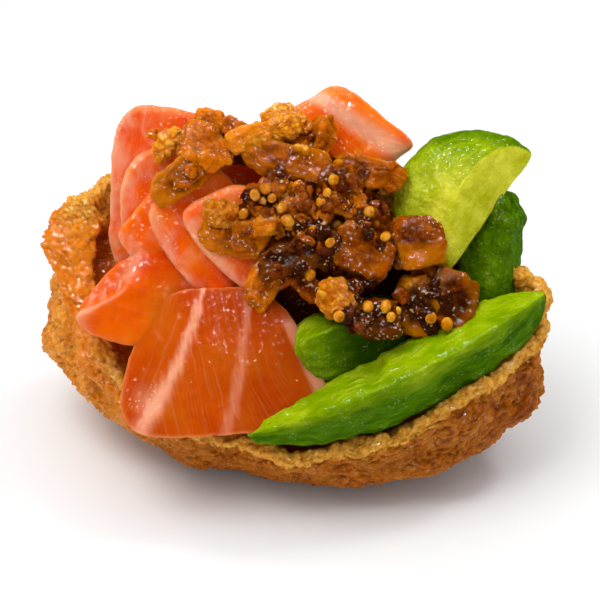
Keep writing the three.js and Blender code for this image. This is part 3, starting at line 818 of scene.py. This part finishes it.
# Each wedge by its two ends. `bow` is how far its middle is moved from the straight line, `ridge` is the
# way that its ridge faces, `width` and `height` are half sizes, and `blunt` is for the two ends.
AVOCADO = {
    "avocado_front": dict(
        start=(-7.6, -21.4, 16.6),
        end=(36.2, -8.4, 33),
        bow=(1, -2.8, -0.8),
        ridge=(0, -0.75, 0.65),
        blunt=(1, 1.4),
        crispness=5,
    ),
    "avocado_middle": dict(
        start=(-0.5, -14.5, 26),
        end=(16, -9, 29),
        bow=(0, 0, 0.5),
        ridge=(-0.1, -0.6, 0.8),
        height=5.4,
        blunt=(3, 3),
    ),
    "avocado_side": dict(
        start=(26.6, -3.4, 23),
        end=(29.2, 4.8, 43),
        bow=(0.8, 0, 0),
        ridge=(0.3, -0.77, 0.56),
        width=4.7,
        height=4.6,
        faces=FOUR_FACES,
        blunt=(3, 2),
        crispness=9,
    ),
}
AVOCADO_TOP = dict(
    at=(26.4, 2.7, 39.4),
    half=(12.2, 13, 7.4),
    spin=46,
    origin=(0.7, 5.9, 0.7),
    cuts=[((0.235, -0.526, 0.817), 3.4), ((0, -0.8, -0.6), -0.4)],
    crispness=26,
    rows=200,
    columns=200,
)


def section(angle, faces, crispness):
    """Radius of a section. The edges between its faces are rounded, less with more crispness."""
    reach = sum(np.maximum(0, np.cos(angle - math.radians(at)) / off) ** crispness for at, off in faces)
    return reach ** (-1 / crispness)


def make_wedge(start, end, bow, ridge, width=6, height=6, faces=THREE_FACES, blunt=(1, 1), crispness=7):
    """A wedge cut lengthways from the fruit. Its skin carries where each point is, in mm: along it, towards
    its ridge and to its side. It also carries the angle round it from the ridge."""
    start, end, bow = (np.array(point, float) for point in (start, end, bow))
    t = -np.cos(np.linspace(0, math.pi, WEDGE_RINGS))[:, None, None]
    angle = np.linspace(0, TURN, WEDGE_COLUMNS, endpoint=False)[None, :]
    spine = mix(start, end, (1 + t) / 2) + bow * (1 - t * t)
    tangent = unit(end - start - 4 * t * bow)
    upward = np.array(ridge, float)
    upward = unit(upward - tangent * (tangent @ upward)[..., None])
    side = np.cross(tangent, upward)
    sharpness = np.where(t[..., 0] < 0, *blunt)
    taper = (1 - np.abs(t[..., 0]) ** (2 * sharpness)) ** 0.55
    radius = section(angle, faces, crispness) * taper
    towards_ridge, sideways = radius * np.cos(angle) * height, radius * np.sin(angle) * width
    skin = Skin(spine + upward * towards_ridge[..., None] + side * sideways[..., None])
    along = np.broadcast_to(t[..., 0] * np.linalg.norm(end - start) / 2, radius.shape)
    skin.mark(place=skin.flat(np.stack([along, towards_ridge, sideways], -1)), turned=skin.flat(angle))
    return skin


# Small dents in the front wedge, by the pixel that each is seen at, its size and its depth.
FRONT_DENTS = ((371, 366, 1.2, 1.0), (378, 361, 0.8, 0.8), (463, 378, 1.5, 0.7), (352, 372, 0.8, 0.5))
SIDE_BUMP, SIDE_BUMP_SIZE = (517, 219), 1.3  # a small bump on the side wedge, by its pixel
SIDE_SHADE, SIDE_SHADE_SIZE = (488, 213), 3.6  # and the middle of the shade painted on it


def finish_wedge(skin, lumps=0.32):
    """The peeled side is green, the two cuts are yellow."""
    streaks = waves(skin.marks["place"], (9, 1.6, 1.6), 40, 3)
    skin.push(0.16 * streaks + 0.5 * waves(skin.points, 7, 41, 2) + lumps * waves(skin.points, 2.4, 42, 3))
    wander = 0.12 * waves(skin.points, 4, 43, 3)
    green = smooth(-0.3, 0.8, np.sin(skin.marks.pop("turned")) + wander)
    skin.mark(green=green, cream=0, lumpy=0.5, painted_shade=0)


def finish_front(skin):
    finish_wedge(skin)
    for x, y, size, depth in FRONT_DENTS:
        skin.push(-depth * bell(off_sight(skin.points, x, y), 0, size))


def finish_middle(skin):
    """Its right end lies below the relish and is darkened by painted shade."""
    finish_wedge(skin)
    hidden = smooth(-6.5, 0.5, skin.marks["place"][:, 0])
    # Painted shade, with more of the rind's colour, darkens the hidden right end.
    skin.mark(green=mix(0.95 * hidden, 1, 0.6 * skin.marks["green"]), painted_shade=0.75 * hidden)


def finish_side(skin):
    finish_wedge(skin, 0.4)
    skin.push(1.1 * bell(off_sight(skin.points, *SIDE_BUMP), 0, SIDE_BUMP_SIZE))
    shade = 0.5 * bell(off_sight(skin.points, *SIDE_SHADE), 0, SIDE_SHADE_SIZE)
    # Painted shade round SIDE_SHADE.
    skin.mark(green=mix(0.85, 1, skin.marks["green"]), painted_shade=shade, lumpy=1)


def finish_top(skin):
    """The thick wedge at the top: a lumpy peeled side, a smooth cut and a strip of green below the rind."""
    place = skin.marks["place"] / AVOCADO_TOP["half"]
    cream = smooth(0.96, 1.0, skin.marks.pop("cut"))
    peeled = 1 - cream
    rind = place @ (0.72, 0.62, -0.45) + 0.06 * waves(skin.points, 3, 45, 3)
    lumps = waves(warped(skin.points, 4, 1, 46), 3.0, 47, 3)
    relief = peeled * (0.28 * lumps + 0.08 * waves(skin.points, 1, 48, 2))
    skin.push(relief + 0.2 * waves(skin.points, 6, 49, 2))
    below = bell(skin.marks.pop("edge"), 1, 0.5) * peeled * smooth(0.5, -0.2, place[:, 0])
    pale = 0.4 * smooth(0.45, 0.05, rind + 0.1 * lumps)
    skin.mark(
        green=0.8 * smooth(0.4, 0.75, rind) * peeled,
        cream=np.clip(cream + 0.8 * below + pale, 0, 1),
        lumpy=peeled,
        painted_shade=0,
    )


def make_avocado():
    material = avocado_material()
    wedges = {name: make_wedge(**spec) for name, spec in AVOCADO.items()}
    wedges["avocado_top"] = make_block(**AVOCADO_TOP)
    finishes = (finish_front, finish_middle, finish_side, finish_top)
    for (name, skin), finish in zip(wedges.items(), finishes):
        finish(skin)
        add_piece("visual_" + name, [skin], material, name)


def avocado_material():
    finish = Finish(
        "avocado_flesh", Roughness=0.4, Coat_Weight=0.06, Coat_Roughness=0.16, Specular_IOR_Level=0
    )
    finish.soften(0.3, (0.6, 1.0, 0.1), 0.0015)
    patches = finish.noise(6, 3, 0.55)
    streaks = finish.noise(1, 4, 0.6, 0.4, (4, 1.1, 1.1), finish.mark("place", "Vector"))
    rind = finish.ramp(streaks, (0.28, 40, 78, 0), (0.5, 68, 110, 0), (0.75, 98, 138, 4))
    rind = finish.blend(finish.step(patches, 0.45, 0.65, 0, 0.4), rind, srgb(92, 136, 16))
    finish.colour = finish.ramp(patches, (0.3, 116, 150, 0), (0.5, 140, 170, 0), (0.7, 164, 186, 6))
    finish.cover(finish.step(streaks, 0.5, 0.7, 0, 0.35), 210, 218, 50)
    finish.cover(finish.step(streaks, 0.5, 0.3, 0, 0.4), 96, 138, 0)
    finish.colour = finish.blend(finish.mark("green"), finish.colour, rind)
    # Painted shade.
    finish.cover(finish.mark("painted_shade"), 20, 44, 0)
    cream = finish.ramp(finish.noise(3, 3), (0.35, 188, 190, 24), (0.65, 224, 220, 64))
    finish.colour = finish.blend(finish.mark("cream"), finish.colour, cream)
    # Painted highlight specks.
    finish.paint_highlight_specks(0.12)
    relief = finish.math("ADD", finish.noise(0.8, 4, 0.6), finish.math("MULTIPLY", streaks, 0.8))
    wet = finish.math("MULTIPLY", finish.noise(1.0, 0), finish.step(finish.mark("lumpy"), 0, 1, 0.6, 1))
    finish.set(Normal=finish.bump(relief, 0.45), Coat_Normal=finish.bump(wet, 0.4))
    return finish.done()


# ---------------------------------------------------------------- relish

# Pieces of candied onion, from the top left of the heap to its foot. `half` is half the length, width and
# thickness. As the camera sees them, `spin` turns the length up from level, and `roll` then tips the piece
# about its length. `tone` runs from dark at 0 to golden at 1, and `olive` is how green its margin is.
ONION = {
    "ridged_petal": dict(
        at=(-13.9, 3.0, 51.2), half=(4.3, 3.4, 0.8), spin=-35, roll=-25, tone=0.53, curl=0.8
    ),
    "top_chunk": dict(at=(-13.4, 7.0, 53.2), half=(2.2, 1.6, 1.5), spin=-20, tone=0.6),
    "top_nodule": dict(at=(-9.8, 6.5, 52.4), half=(1.7, 1.3, 1.3), spin=-15, tone=0.46),
    "olive_slab": dict(at=(-17.6, 0.4, 47.4), half=(4.7, 2.7, 1.1), spin=32, roll=10, tone=0.42, olive=0.8),
    "brown_lump": dict(at=(-16.5, -0.4, 48.4), half=(2.9, 1.5, 1.0), spin=30, tone=0.34),
    "stray_bit": dict(at=(-21.4, 6.0, 51.2), half=(1.1, 0.8, 0.8), spin=-15, tone=0.5),
    "peach_flake": dict(at=(-7.2, 2.6, 52.8), half=(3.6, 2.0, 0.8), spin=22, roll=4, tone=0.72),
    "long_strip": dict(at=(-1.6, 1.0, 49.6), half=(7.4, 2.4, 1.5), spin=-14, roll=-15, tone=0.4, olive=0.3),
    "folded_shard": dict(at=(2.9, 4.2, 51.8), half=(3.5, 2.0, 1.5), spin=68, roll=25, tone=0.44),
    "right_strip": dict(at=(10.0, 2.4, 47.2), half=(5.9, 2.2, 1.3), spin=-13, tone=0.4, olive=0.3),
    "left_slab": dict(at=(-9.4, -4.5, 40.3), half=(5.7, 2.8, 1.4), spin=-6, roll=15, tone=0.48, olive=0.4),
    "nodule_pair": dict(at=(-1.5, -1.6, 45.6), half=(2.9, 1.7, 1.6), spin=-15, tone=0.62),
    "middle_lump": dict(at=(5.3, -0.6, 46.4), half=(3.3, 2.8, 2.2), spin=-50, tone=0.22),
    "middle_strip": dict(at=(7.6, -1.4, 43.4), half=(3.6, 2.4, 2.2), spin=-35, tone=0.55),
    "left_lump": dict(at=(0.0, -3.5, 43.0), half=(3.8, 2.7, 2.0), spin=-10, tone=0.5),
    "big_chunk": dict(at=(9.3, -6.4, 38.6), half=(4.6, 3.7, 2.7), spin=-28, tone=0.3),
    "right_block": dict(at=(17.2, -5.4, 39.7), half=(3.9, 3.9, 2.4), spin=6, tone=0.26, two_toned=1),
    "dark_lump": dict(at=(2.4, -5.8, 39.4), half=(3.8, 3.0, 2.4), spin=-30, tone=-0.2),
    "hanging_flake": dict(
        at=(-5.0, -7.8, 35.0), half=(4.6, 2.4, 0.9), spin=62, roll=10, tone=0.52, curl=0.8
    ),
    "dark_ridge": dict(at=(-1.5, -6.8, 38.2), half=(4.8, 2.5, 1.9), spin=18, tone=0.04),
    "drip": dict(at=(0.6, -8.2, 34.6), half=(3.3, 1.6, 1.4), spin=-58, tone=0.26),
    "foot_right": dict(at=(10.5, -13.2, 31.8), half=(4.9, 2.9, 2.4), spin=4, tone=0.0),
    "olive_block": dict(at=(17.2, -9.8, 32.0), half=(4.5, 3.0, 2.4), spin=80, tone=0.04, olive=0.8),
    "dark_round": dict(at=(22.1, -9.2, 32.0), half=(4.7, 3.7, 2.7), spin=75, tone=0.04, olive=0.3),
    "seed_bed": dict(at=(-5.2, -2.7, 45.0), half=(3.0, 2.5, 1.3), spin=-25, tone=0.3),
}
# Crumbly golden clumps, placed in the same way. `dim` is how brown they are.
CRUMBS = {
    "left_crumb": dict(at=(-19.4, 4.6, 50.5), half=(3.1, 1.9, 1.5), spin=52),
    "top_ball": dict(at=(-2.5, 5.2, 53.6), half=(3.3, 2.9, 2.5)),
    "slab_crumb": dict(at=(-11.5, -3.4, 43.6), half=(2.9, 2.2, 1.6), spin=-10, dim=0.5),
    "foot_crumb": dict(at=(5.4, -12.6, 35.0), half=(2.9, 3.1, 2.2), spin=40, dim=0.35),
}
# Where small bits of onion lie: a pixel, the radius round it in pixels, their number and lightest tone.
SCATTER = [
    (290, 205, 34, 20, 0.6),
    (345, 200, 30, 18, 0.5),
    (345, 225, 44, 16, 0.4),
    (300, 250, 34, 14, 0.2),
    (366, 308, 28, 20, 0.25),
    (420, 300, 30, 14, 0.2),
    (245, 232, 24, 7, 0.7),
    (190, 180, 12, 3, 0.6),
    (375, 172, 26, 8, 0.6),
    (300, 160, 34, 5, 0.6),
    (262, 202, 15, 9, 0.4),
]
# The sticky masses that carry the pieces: the heap itself, and two behind its top.
CORES = (
    dict(at=(4, 0.4, 38.0), half=(11.4, 9.8, 6.6)),
    dict(at=(-1, 5.5, 46), half=(5.5, 5, 3.5)),
    dict(at=(-8.2, 8, 48.1), half=(5.8, 4.2, 4.2)),
)
# How the glaze is made: the size of its cells, how far it lies below the pieces that it joins, how much
# longer, wider and thicker it takes them, and the half thickness of those too thin to join.
GLAZE_CELL, GLAZE_SUNK, GLAZE_GROWN, GLAZE_THIN = 0.34, 1.3, (0.8, 0.8, 0.1), 1.2

SEED = 1.9
SEED_HALF = (1.08, 0.9, 0.84)  # against SEED / 2
SEED_SUNK = 0.18
# Mustard seeds by the pixel that each is seen at, and their size against SEED.
SEED_PIXELS = [
    (255, 195, 0.95), (265.7, 188.6, 1), (263.6, 200.7, 0.8), (272, 198, 0.8), (228.6, 173, 1),
    (229, 162, 0.6), (288, 220.7, 1.1), (282, 208, 0.9), (243.6, 213.6, 0.9), (250.7, 260.7, 1),
    (310, 274, 1), (337, 226, 1), (338, 163.6, 0.8), (333.6, 180, 0.9), (327, 192.7, 0.7), (321, 202, 0.9),
    (369, 212, 1), (375.5, 224.5, 0.75), (385.5, 236.4, 0.8), (330, 242.7, 0.8), (298, 148, 0.8),
    (305.5, 150.5, 0.75), (384.5, 280, 0.9), (385.5, 289, 0.7), (368, 307, 1), (385.5, 307, 1),
    (397, 311, 0.8), (323.6, 319, 1), (339, 316.4, 1), (332, 324, 0.7), (391, 317, 0.8), (431, 318, 1),
    (447, 324.5, 1.05), (399, 338, 0.6), (322, 295, 0.8),
]
# More lie on the slope behind, below this height, where it faces back by this share.
BACK_SEEDS, BACK_SEEDS_TOP, BACK_FACING = 12, 49, 0.5


def view_turn(spin, roll):
    """Turns x to the right, y upwards and z towards the camera, then by two angles in degrees."""
    towards_camera = Euler((math.pi / 2 - CAMERA_HEIGHT, 0, 0)).to_matrix()
    spun = Euler((0, 0, math.radians(spin))).to_matrix()
    rolled = Euler((math.radians(roll), 0, 0)).to_matrix()
    return np.array(towards_camera @ spun @ rolled)


def make_block(
    at, half, spin=0, roll=0, cuts=(), origin=(0, 0, 0), crispness=14, curl=0, rows=44, columns=76
):
    """A round body of half size `half` with flat cuts. Each cut is a direction and how far out the plane
    lies, both in the body's own frame. The skin carries where each point is in that frame, how near it is
    to an edge between two faces, and how near to the first cut."""
    half, origin = np.array(half, float), np.array(origin, float)
    lean = np.linspace(math.pi, 0, rows)[:, None]
    around = np.linspace(0, TURN, columns, endpoint=False)[None, :]
    ray = [np.sin(lean) * np.cos(around), np.sin(lean) * np.sin(around), np.cos(lean) + 0 * around]
    ray = np.stack(ray, -1) * half  # from the origin, out through each point
    off = (ray * origin / half**2).sum(-1)
    reach = [1 / (np.sqrt(off**2 + 1 - ((origin / half) ** 2).sum()) - off)]
    for facing, distance in cuts:
        facing = np.array(facing, float)
        reach.append(np.maximum(0, ray @ facing) / (distance - origin @ facing))
    reach = np.stack(reach)
    nearest = np.sort(np.concatenate([reach, 0 * reach[:1]]), axis=0)
    local = origin + ray / ((reach**crispness).sum(0) ** (1 / crispness))[..., None]
    bent = local - np.array([0, 0, 1]) * (curl * (local[..., 1:2] / half[1]) ** 2)
    skin = Skin(bent @ view_turn(spin, roll).T + np.array(at, float))
    skin.mark(
        place=skin.flat(local),
        edge=skin.flat(nearest[-2] / nearest[-1]),
        cut=skin.flat(reach[min(1, len(cuts))] / nearest[-1]),
    )
    return skin


def onion_cuts(half, random):
    """Six faces of a rough box and a few cut corners."""
    half = np.array(half, float)
    cuts = []
    for axis in np.vstack([np.eye(3), -np.eye(3)]):
        facing = unit(axis + random.uniform(-0.22, 0.22, 3))
        cuts.append((facing / half, random.uniform(0.86, 1.0)))
    for _ in range(4):
        facing = unit(random.uniform(-1, 1, 3) * (1, 1, 0.5))
        cuts.append((facing / half, random.uniform(0.92, 1.12)))
    return cuts


def remeshed(skins, voxel):
    """One skin round several, made of cells of size `voxel`."""
    thing = mesh_object("heap", skins)
    modifier = thing.modifiers.new("join", "REMESH")
    modifier.mode = "VOXEL"
    modifier.voxel_size = voxel * MM
    shaped = thing.evaluated_get(bpy.context.evaluated_depsgraph_get()).to_mesh()
    shaped.calc_loop_triangles()
    points = np.zeros(len(shaped.vertices) * 3)
    shaped.vertices.foreach_get("co", points)
    triangles = np.zeros(len(shaped.loop_triangles) * 3, int)
    shaped.loop_triangles.foreach_get("vertices", triangles)
    bpy.data.objects.remove(thing)
    return Shell(points.reshape(-1, 3) / MM, triangles.reshape(-1, 3))


def make_onion(index, tone=0.4, olive=0.0, two_toned=0.0, **shape):
    half = np.array(shape["half"], float)
    cuts = onion_cuts(half, np.random.default_rng(index))
    skin = make_block(cuts=cuts, crispness=24, **{**shape, "half": half * 1.35})
    size = float(half[:2].min())
    skin.push(mix(0.24, 0.1, two_toned) * size * waves(skin.points, 1.2 * size, 50 + index, 2))
    place = skin.marks["place"]
    fibres = ridges(place + 37.0 * index, (5, 1.3, 1.3), 80 + index, 2) - 0.6
    skin.push(0.22 * fibres + 0.26 * waves(skin.points, 1.4, 110 + index, 3, 0.6))
    lower = two_toned * smooth(0.5, -1.5, place[:, 1])
    margin = smooth(0.55, 0.95, np.linalg.norm(place[:, :2] / half[:2], axis=1))
    rim = smooth(0.72, 0.98, skin.marks["edge"])
    skin.marks = {"place": place, "rim": rim}
    skin.mark(tone=tone - 0.02 + 0.12 * lower, olive=np.maximum(olive * margin, 0.6 * lower))
    return skin


def make_bit(index, tone, **shape):
    cuts = onion_cuts(shape["half"], np.random.default_rng(index))
    skin = make_block(cuts=cuts, crispness=12, **{**shape, "half": shape["half"] * 1.3})
    skin.push(float(shape["half"].min()) * 0.4 * waves(skin.points, 0.9, index, 3, 0.6))
    skin.marks = {"place": skin.marks["place"]}
    skin.mark(rim=0, tone=tone, olive=0)
    return skin


def make_crumb(index, dim=0.0, **shape):
    skin = make_block(**shape, rows=70, columns=100)
    skin.push(0.5 * waves(skin.points, 2.2, 140 + index, 2))
    lumps = pebbles(warped(skin.points, 1.6, 1.2, 150 + index), 1.7, 160 + index)
    skin.push(0.34 * lumps**0.7 - 0.14 + 0.3 * waves(skin.points, 0.8, 170 + index, 3))
    skin.marks = {"hollow_shade": 1 - lumps}
    skin.mark(dim=dim)
    return skin


def make_glaze():
    """The sticky glaze: one skin that fills the gaps between the thicker pieces."""
    inner = [make_block(**core) for core in CORES]
    for spec in [*ONION.values(), *CRUMBS.values()]:
        if spec["half"][2] >= GLAZE_THIN:
            shape = {key: spec[key] for key in ("at", "spin", "roll") if key in spec}
            half = [value + grown for value, grown in zip(spec["half"], GLAZE_GROWN)]
            inner.append(make_block(half=half, rows=20, columns=30, **shape))
    glaze = remeshed(inner, GLAZE_CELL)
    lumps = pebbles(warped(glaze.points, 2, 0.6, 180), 2.0, 181)
    relief = 0.3 * waves(glaze.points, 3, 182, 3) + 0.4 * (lumps - 0.5)
    relief += 0.12 * waves(glaze.points, 0.8, 183, 2)
    glaze.push(relief - GLAZE_SUNK)
    return glaze


def surface_tree(skins):
    points, triangles = joined(skins)
    return BVHTree.FromPolygons(points.tolist(), triangles.tolist())


def make_seed(at, size, turn):
    """An oval seed with a small dent."""
    seed = make_block(at=(0, 0, 0), half=SEED_HALF, rows=16, columns=22)
    seed.marks = {}
    seed.push(-0.12 * bell(np.linalg.norm(seed.points - (0.9, 0, 0), axis=1), 0, 0.35))
    matrix = np.array(Euler(turn).to_matrix())
    seed.points = seed.points @ matrix.T * (SEED / 2 * size) + np.array(at)
    return seed


def make_seeds(tree):
    random = np.random.default_rng(5)
    seeds = []
    for x, y, size in SEED_PIXELS:
        ahead = sight(x, y)
        place = tree.ray_cast(CAMERA_PLACE, ahead)[0]
        if place is not None:
            sunk = ahead * (SEED_SUNK * SEED * size)
            seeds.append(make_seed(place - sunk, size, random.uniform(0, TURN, 3)))
    while len(seeds) < len(SEED_PIXELS) + BACK_SEEDS:
        above = Vector((random.uniform(-10, 16), random.uniform(5, 12), 60))
        place, normal = tree.ray_cast(above, Vector((0, 0, -1)))[:2]
        if place is not None and normal.y > BACK_FACING and place.z < BACK_SEEDS_TOP:
            size, turn = random.uniform(0.75, 1), random.uniform(0, TURN, 3)
            seeds.append(make_seed(place + normal * 0.4, size, turn))
    return seeds


def make_bits(tree):
    """Small bits of onion, where lines of sight meet the heap."""
    random = np.random.default_rng(9)
    bits = []
    for x, y, radius, count, lightest in SCATTER:
        for _ in range(count):
            turn, out = random.uniform(0, TURN), radius * math.sqrt(random.uniform(0, 1))
            half = random.uniform(0.4, 1.3) * random.uniform(0.5, 1.5, 3)
            shape = dict(half=half, spin=random.uniform(0, 360), roll=random.uniform(-40, 40))
            tone = random.uniform(lightest - 0.45, lightest)
            ahead = sight(x + out * math.cos(turn), y + out * math.sin(turn))
            place = tree.ray_cast(CAMERA_PLACE, ahead)[0]
            if place is not None:
                bits.append(make_bit(200 + len(bits), tone, at=place, rows=18, columns=26, **shape))
    return bits


def shade(skins, tree, reach=3.2, ways=4):
    """Marks how closely each point is hemmed in by its neighbours: the share of the directions round its
    normal in which the next surface is near. The materials darken with this mark as painted shade."""
    for skin in skins:
        normals = skin.normals()
        side = unit(np.cross(normals, (0.3, 0.5, 0.8)))
        other = np.cross(normals, side)
        occlusion_shade = np.zeros(len(normals))
        for turn in np.arange(ways) * TURN / ways:
            aims = 0.72 * normals + 0.69 * (math.cos(turn) * side + math.sin(turn) * other)
            for index, (place, aim) in enumerate(zip(skin.points + 0.5 * normals, aims)):
                distance = tree.ray_cast(Vector(place), Vector(aim), reach)[3]
                if distance is not None:
                    occlusion_shade[index] += (1 - distance / reach) / ways
        skin.mark(occlusion_shade=occlusion_shade)


def make_relish():
    onion = [make_onion(index, **spec) for index, spec in enumerate(ONION.values())]
    crumbs = [make_crumb(index, **spec) for index, spec in enumerate(CRUMBS.values())]
    glaze = make_glaze()
    bits = make_bits(surface_tree([*onion, *crumbs, glaze]))
    seeds = make_seeds(surface_tree([*onion, *crumbs, glaze, *bits]))
    everything = [*onion, *crumbs, glaze, *bits, *seeds]
    shade(everything, surface_tree(everything))
    candied = onion_material()
    add_piece("visual_relish_onion", onion, candied, "relish")
    add_piece("visual_relish_bits", bits, candied, "relish")
    add_piece("visual_relish_crumb", crumbs, crumb_material(), "relish")
    add_piece("visual_relish_glaze", [glaze], glaze_material(), "relish")
    add_piece("visual_relish_seeds", seeds, seed_material(), "relish")


def glossy_finish(name, radius, scale, weight=0.4, ripple=0.6):
    """A wet, sticky finish."""
    finish = Finish(name, Roughness=0.3, Coat_Weight=0.17, Coat_Roughness=0.06, Specular_IOR_Level=0)
    finish.soften(weight, radius, scale)
    finish.set(
        Normal=finish.bump(finish.noise(0.8, 4, 0.6), 0.14),
        Coat_Normal=finish.bump(finish.noise(1.0, 0), ripple),
    )
    return finish


def onion_material():
    finish = glossy_finish("candied_onion", (1.0, 0.4, 0.05), 0.0018, 0.5)
    given, occlusion_shade = finish.mark("tone"), finish.mark("occlusion_shade")
    clouds = finish.math("SUBTRACT", finish.noise(2.2, 5, 0.7, 0.8), 0.5)
    finish.colour = finish.ramp(
        finish.math("MULTIPLY_ADD", clouds, 1.25, given),
        (0.0, 54, 18, 2),
        (0.2, 112, 44, 2),
        (0.4, 160, 76, 0),
        (0.6, 206, 108, 4),
        (0.8, 236, 146, 28),
        (1.0, 255, 190, 98),
    )
    finish.cover(finish.mark("olive"), 192, 112, 0)
    finish.cover(finish.step(finish.noise(0.6, 3, 0.6), 0.38, 0.28, 0, 0.45), 70, 22, 0)
    glow = finish.math("MULTIPLY", finish.mark("rim"), finish.step(given, 0.2, 0.8, 0.1, 0.5))
    finish.cover(glow, 250, 136, 8)
    # Painted shade where the neighbouring pieces crowd in.
    finish.cover(finish.step(occlusion_shade, 0.3, 0.8, 0, 0.7), 60, 18, 0)
    # Painted highlight specks, fewer where the pieces crowd in on each other.
    finish.paint_highlight_specks(finish.step(occlusion_shade, 0.75, 0.3, 0.1, 0.5))
    return finish.done()


def crumb_material():
    finish = glossy_finish("golden_crumb", (1.0, 0.5, 0.1), 0.0012)
    finish.colour = finish.ramp(
        finish.noise(1.2, 3, 0.6), (0.3, 190, 98, 2), (0.5, 232, 142, 16), (0.7, 252, 190, 66)
    )
    # Painted shade in the hollows between the lumps.
    finish.cover(finish.step(finish.mark("hollow_shade"), 0.6, 1, 0, 0.6), 182, 84, 0)
    # Painted shade where the neighbouring pieces crowd in.
    finish.cover(finish.step(finish.mark("occlusion_shade"), 0.35, 0.85, 0, 0.6), 90, 34, 0)
    finish.cover(finish.mark("dim"), 168, 84, 2)
    # Painted highlight specks.
    finish.paint_highlight_specks(0.5)
    return finish.done()


def glaze_material():
    finish = glossy_finish("dark_glaze", (1.0, 0.3, 0.05), 0.001, 0.25)
    finish.colour = finish.ramp(
        finish.noise(2.5, 4, 0.6), (0.35, 54, 16, 2), (0.5, 104, 38, 0), (0.68, 160, 76, 0)
    )
    return finish.done()


def seed_material():
    finish = glossy_finish("mustard_seed", (1.0, 0.5, 0.1), 0.0008, 0.3, 0.15)
    finish.colour = finish.ramp(
        finish.noise(1.6, 3, 0.6), (0.32, 168, 92, 0), (0.5, 206, 126, 10), (0.68, 238, 172, 56)
    )
    # Painted shade where the neighbouring pieces crowd in.
    finish.cover(finish.step(finish.mark("occlusion_shade"), 0.35, 0.85, 0, 0.6), 110, 44, 0)
    return finish.done()


# ---------------------------------------------------------------- floor and light

# Here the lengths are in metres and the powers in watts.
FLOOR = 3.0  # from its middle to each side
WORLD_STRENGTH = 0.53
LIT_POINT = (0, 0, 0.03)
# Each lamp's place, the width of its disk and its power. The glints only show in wet surfaces.
SOFTBOXES = {
    "overhead": ((-0.1, 0, 0.8), 1.2, 2.8),
    "softbox_key": ((-0.2, -0.12, 0.6), 0.34, 1.4),
    "softbox_right": ((0.28, 0.1, 0.5), 0.12, 0.5),
}
GLINTS = {
    "glint_left": ((-0.24, 0.1, 0.62), 0.15, 11),
    "glint_front": ((-0.06, -0.24, 0.66), 0.11, 5.5),
    "glint_right": ((0.26, 0.02, 0.55), 0.11, 5.5),
}


def make_floor():
    mesh = bpy.data.meshes.new("floor")
    corners = [(-FLOOR, -FLOOR, 0), (FLOOR, -FLOOR, 0), (FLOOR, FLOOR, 0), (-FLOOR, FLOOR, 0)]
    mesh.from_pydata(corners, [], [(0, 1, 2, 3)])
    floor = placed("floor", mesh)
    finish = Finish("white_floor", Roughness=0.28, Specular_IOR_Level=0.25)
    finish.colour = finish.ramp(finish.noise(400, 2), (0, 246, 248, 249), (1, 249, 251, 252))
    floor.data.materials.append(finish.done())


def add_light(name, place, width, power):
    data = bpy.data.lights.new(name, "AREA")
    data.shape = "DISK"
    data.size = width
    data.energy = power
    light = placed(name, data)
    light.location = place
    light.rotation_euler = (Vector(LIT_POINT) - Vector(place)).to_track_quat("-Z", "Y").to_euler()
    return light


def make_light():
    world = bpy.data.worlds.new("studio")
    bpy.context.scene.world = world
    world.use_nodes = True
    background = world.node_tree.nodes["Background"]
    background.inputs["Color"].default_value = (1, 1, 1, 1)
    background.inputs["Strength"].default_value = WORLD_STRENGTH
    world.cycles_visibility.glossy = False
    for name, lamp in SOFTBOXES.items():
        add_light(name, *lamp).visible_glossy = False
    for name, lamp in GLINTS.items():
        add_light(name, *lamp).visible_diffuse = False
    bpy.context.scene.view_settings.view_transform = "Standard"


make_camera()
make_light()
make_floor()
add_piece("visual_pouch", [make_pouch()], tofu_material(), "pouch")
make_salmon()
make_avocado()
make_relish()
